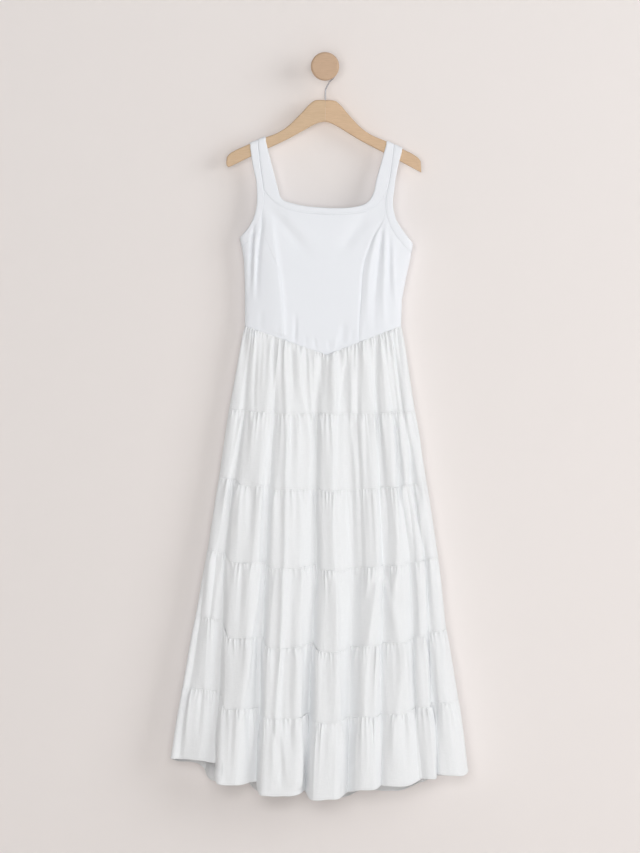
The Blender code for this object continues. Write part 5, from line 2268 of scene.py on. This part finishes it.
@dataclass(frozen=True)
class SoftLight:
    """A square light that shines on the dress: power in watts, length of its side in metres."""

    name: str
    place: Triple
    size: float
    power: float
    color: Triple

    def add(self, target: Vector) -> None:
        """Put the light in the scene.

        Args:
            target: Where it points.
        """
        data = bpy.data.lights.new(self.name, "AREA")
        data.size = self.size
        data.energy = self.power
        data.color = self.color
        light = add_object(self.name, data)
        light.location = self.place
        light.rotation_euler = (target - Vector(self.place)).to_track_quat("-Z", "Y").to_euler()


@dataclass
class Studio:
    """Camera, soft light, the pale wall behind and the pale floor below."""

    wall_color: Triple = (0.82, 0.778, 0.762)
    floor_color: Triple = (0.80, 0.77, 0.74)
    camera_place: Triple = (-0.0106, -12.036, -0.762)
    lens: float = 238.9
    lights: tuple[SoftLight, ...] = (
        SoftLight("key", (4.5, -3.2, 0.5), 3.2, 112.0, (0.98, 0.99, 1.0)),
        SoftLight("fill", (-0.4, -8.0, -0.6), 4.0, 312.0, (0.99, 0.99, 0.99)),
        SoftLight("back", (1.0, 6.0, -0.2), 4.0, 130.0, (1.0, 0.995, 0.99)),
    )
    light_target: Triple = (0.0, 0.0, -0.8)
    world_strength: float = 0.295

    def build(self) -> None:
        """Set up everything round the dress."""
        self.add_camera()
        for light in self.lights:
            light.add(Vector(self.light_target))
        self.add_world()
        self.add_wall()
        self.add_floor()
        bpy.context.scene.view_settings.view_transform = "Standard"

    def add_camera(self) -> None:
        """Stand the camera straight in front of the dress."""
        data = bpy.data.cameras.new("front_camera")
        data.lens = self.lens
        data.sensor_width = 36.0
        camera = add_object("front_camera", data)
        camera.location = self.camera_place
        camera.rotation_euler = (math.pi / 2, 0.0, 0.0)
        bpy.context.scene.camera = camera

    def add_world(self) -> None:
        """Fill the room with even pale light."""
        world = bpy.data.worlds.new("pale_room")
        bpy.context.scene.world = world
        world.use_nodes = True
        background = world.node_tree.nodes["Background"]
        background.inputs["Color"].default_value = (1.0, 0.985, 0.97, 1.0)
        background.inputs["Strength"].default_value = self.world_strength

    @staticmethod
    def plane(
        name: str, centre: Sequence[float], size: tuple[float, float], upright: bool, material: Material
    ) -> None:
        """Add a flat stage piece.

        Args:
            name: The piece's name.
            centre: Where its middle lies.
            size: Its width and its length or height.
            upright: Whether it stands up and faces the camera.
            material: Its material.
        """
        sheet = bmesh.new()
        bmesh.ops.create_grid(sheet, x_segments=1, y_segments=1, size=0.5)
        turn = Matrix.Rotation(math.pi / 2 if upright else 0.0, 4, "X")
        placed = Matrix.Translation(centre) @ turn @ Matrix.Diagonal((*size, 1.0, 1.0))
        bmesh.ops.transform(sheet, verts=sheet.verts, matrix=placed)
        mesh = bpy.data.meshes.new(name)
        sheet.to_mesh(mesh)
        sheet.free()
        Shop.link(name, mesh, material)

    @staticmethod
    def paint(
        name: str, roughness: float, color: Triple, deepest: float, scale: float, detail: float
    ) -> tuple[Material, NodeBench, Node]:
        """Start a matt paint with faint broad patches.

        Args:
            name: The material's name.
            roughness: Its roughness.
            color: Its colour.
            deepest: Brightness of the darker patches, as a share.
            scale: How many patches lie in a metre.
            detail: How many finer layers the patches have.

        Returns:
            The material, its bench and its shader node.
        """
        material, bench, shader = start_material(name, roughness, 0.2)
        patches = bench.span(bench.noise(bench.object_place(), scale, detail), 0.3, 0.7, 0.0, 1.0)
        deeper = tuple(deepest * part for part in color)
        bench.join(bench.blend(patches, color, deeper), shader.inputs["Base Color"])
        return material, bench, shader

    def add_wall(self) -> None:
        """Add the painted wall, which shows nothing from behind and lets the back light through."""
        material, bench, shader = self.paint("wall_paint", 0.9, self.wall_color, 0.985, 0.8, 2.0)
        clear = bench.add("ShaderNodeBsdfTransparent")
        lit = bench.add("ShaderNodeLightPath").outputs["Is Shadow Ray"]
        behind = bench.math("MAXIMUM", bench.add("ShaderNodeNewGeometry").outputs["Backfacing"], lit)
        mix = bench.add("ShaderNodeMixShader")
        for socket, source in zip(mix.inputs, (behind, shader.outputs[0], clear.outputs[0])):
            bench.join(source, socket)
        bench.join(mix.outputs[0], material.node_tree.nodes["Material Output"].inputs["Surface"])
        self.plane("wall", (0.0, 0.0006, 0.85), (10.0, 5.3), True, material)

    def add_floor(self) -> None:
        """Add the plain floor."""
        material = self.paint("floor_paint", 0.85, self.floor_color, 0.97, 1.2, 3.0)[0]
        self.plane("floor", (0.0, 0.0, -1.8), (32.0, 32.0), False, material)


def main() -> None:
    """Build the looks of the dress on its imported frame."""
    logging.basicConfig(level=logging.INFO, format="%(message)s")
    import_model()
    effects = Effects()
    form = BodiceForm()
    hanger = HangerForm()
    Studio().build()
    knob_wood = WoodFinish("knob_beech", (0.585, 0.41, 0.278), (0.53, 0.36, 0.238), 0.35, 0.55)
    pale_wood = WoodFinish("hanger_pale_beech", (0.65, 0.473, 0.31), (0.595, 0.422, 0.262), 0.5)
    warm_wood = WoodFinish("hanger_warm_beech", (0.665, 0.472, 0.305), (0.61, 0.42, 0.264), 0.5)
    Knob(knob_wood.material(effects)).build()
    Hook(WireFinish("drawn_steel").material(effects)).build()
    Hanger(hanger, pale_wood.material(effects), warm_wood.material(effects)).build()
    Bodice(form, JerseyFinish("ribbed_jersey").material(effects)).build()
    Bands(form, hanger, JerseyFinish("band_jersey", stitch_offset=0.0035).material(effects)).build()
    Skirt(WovenFinish("light_woven_cloth").material(effects), form).build()


if __name__ == "__main__":
    main()
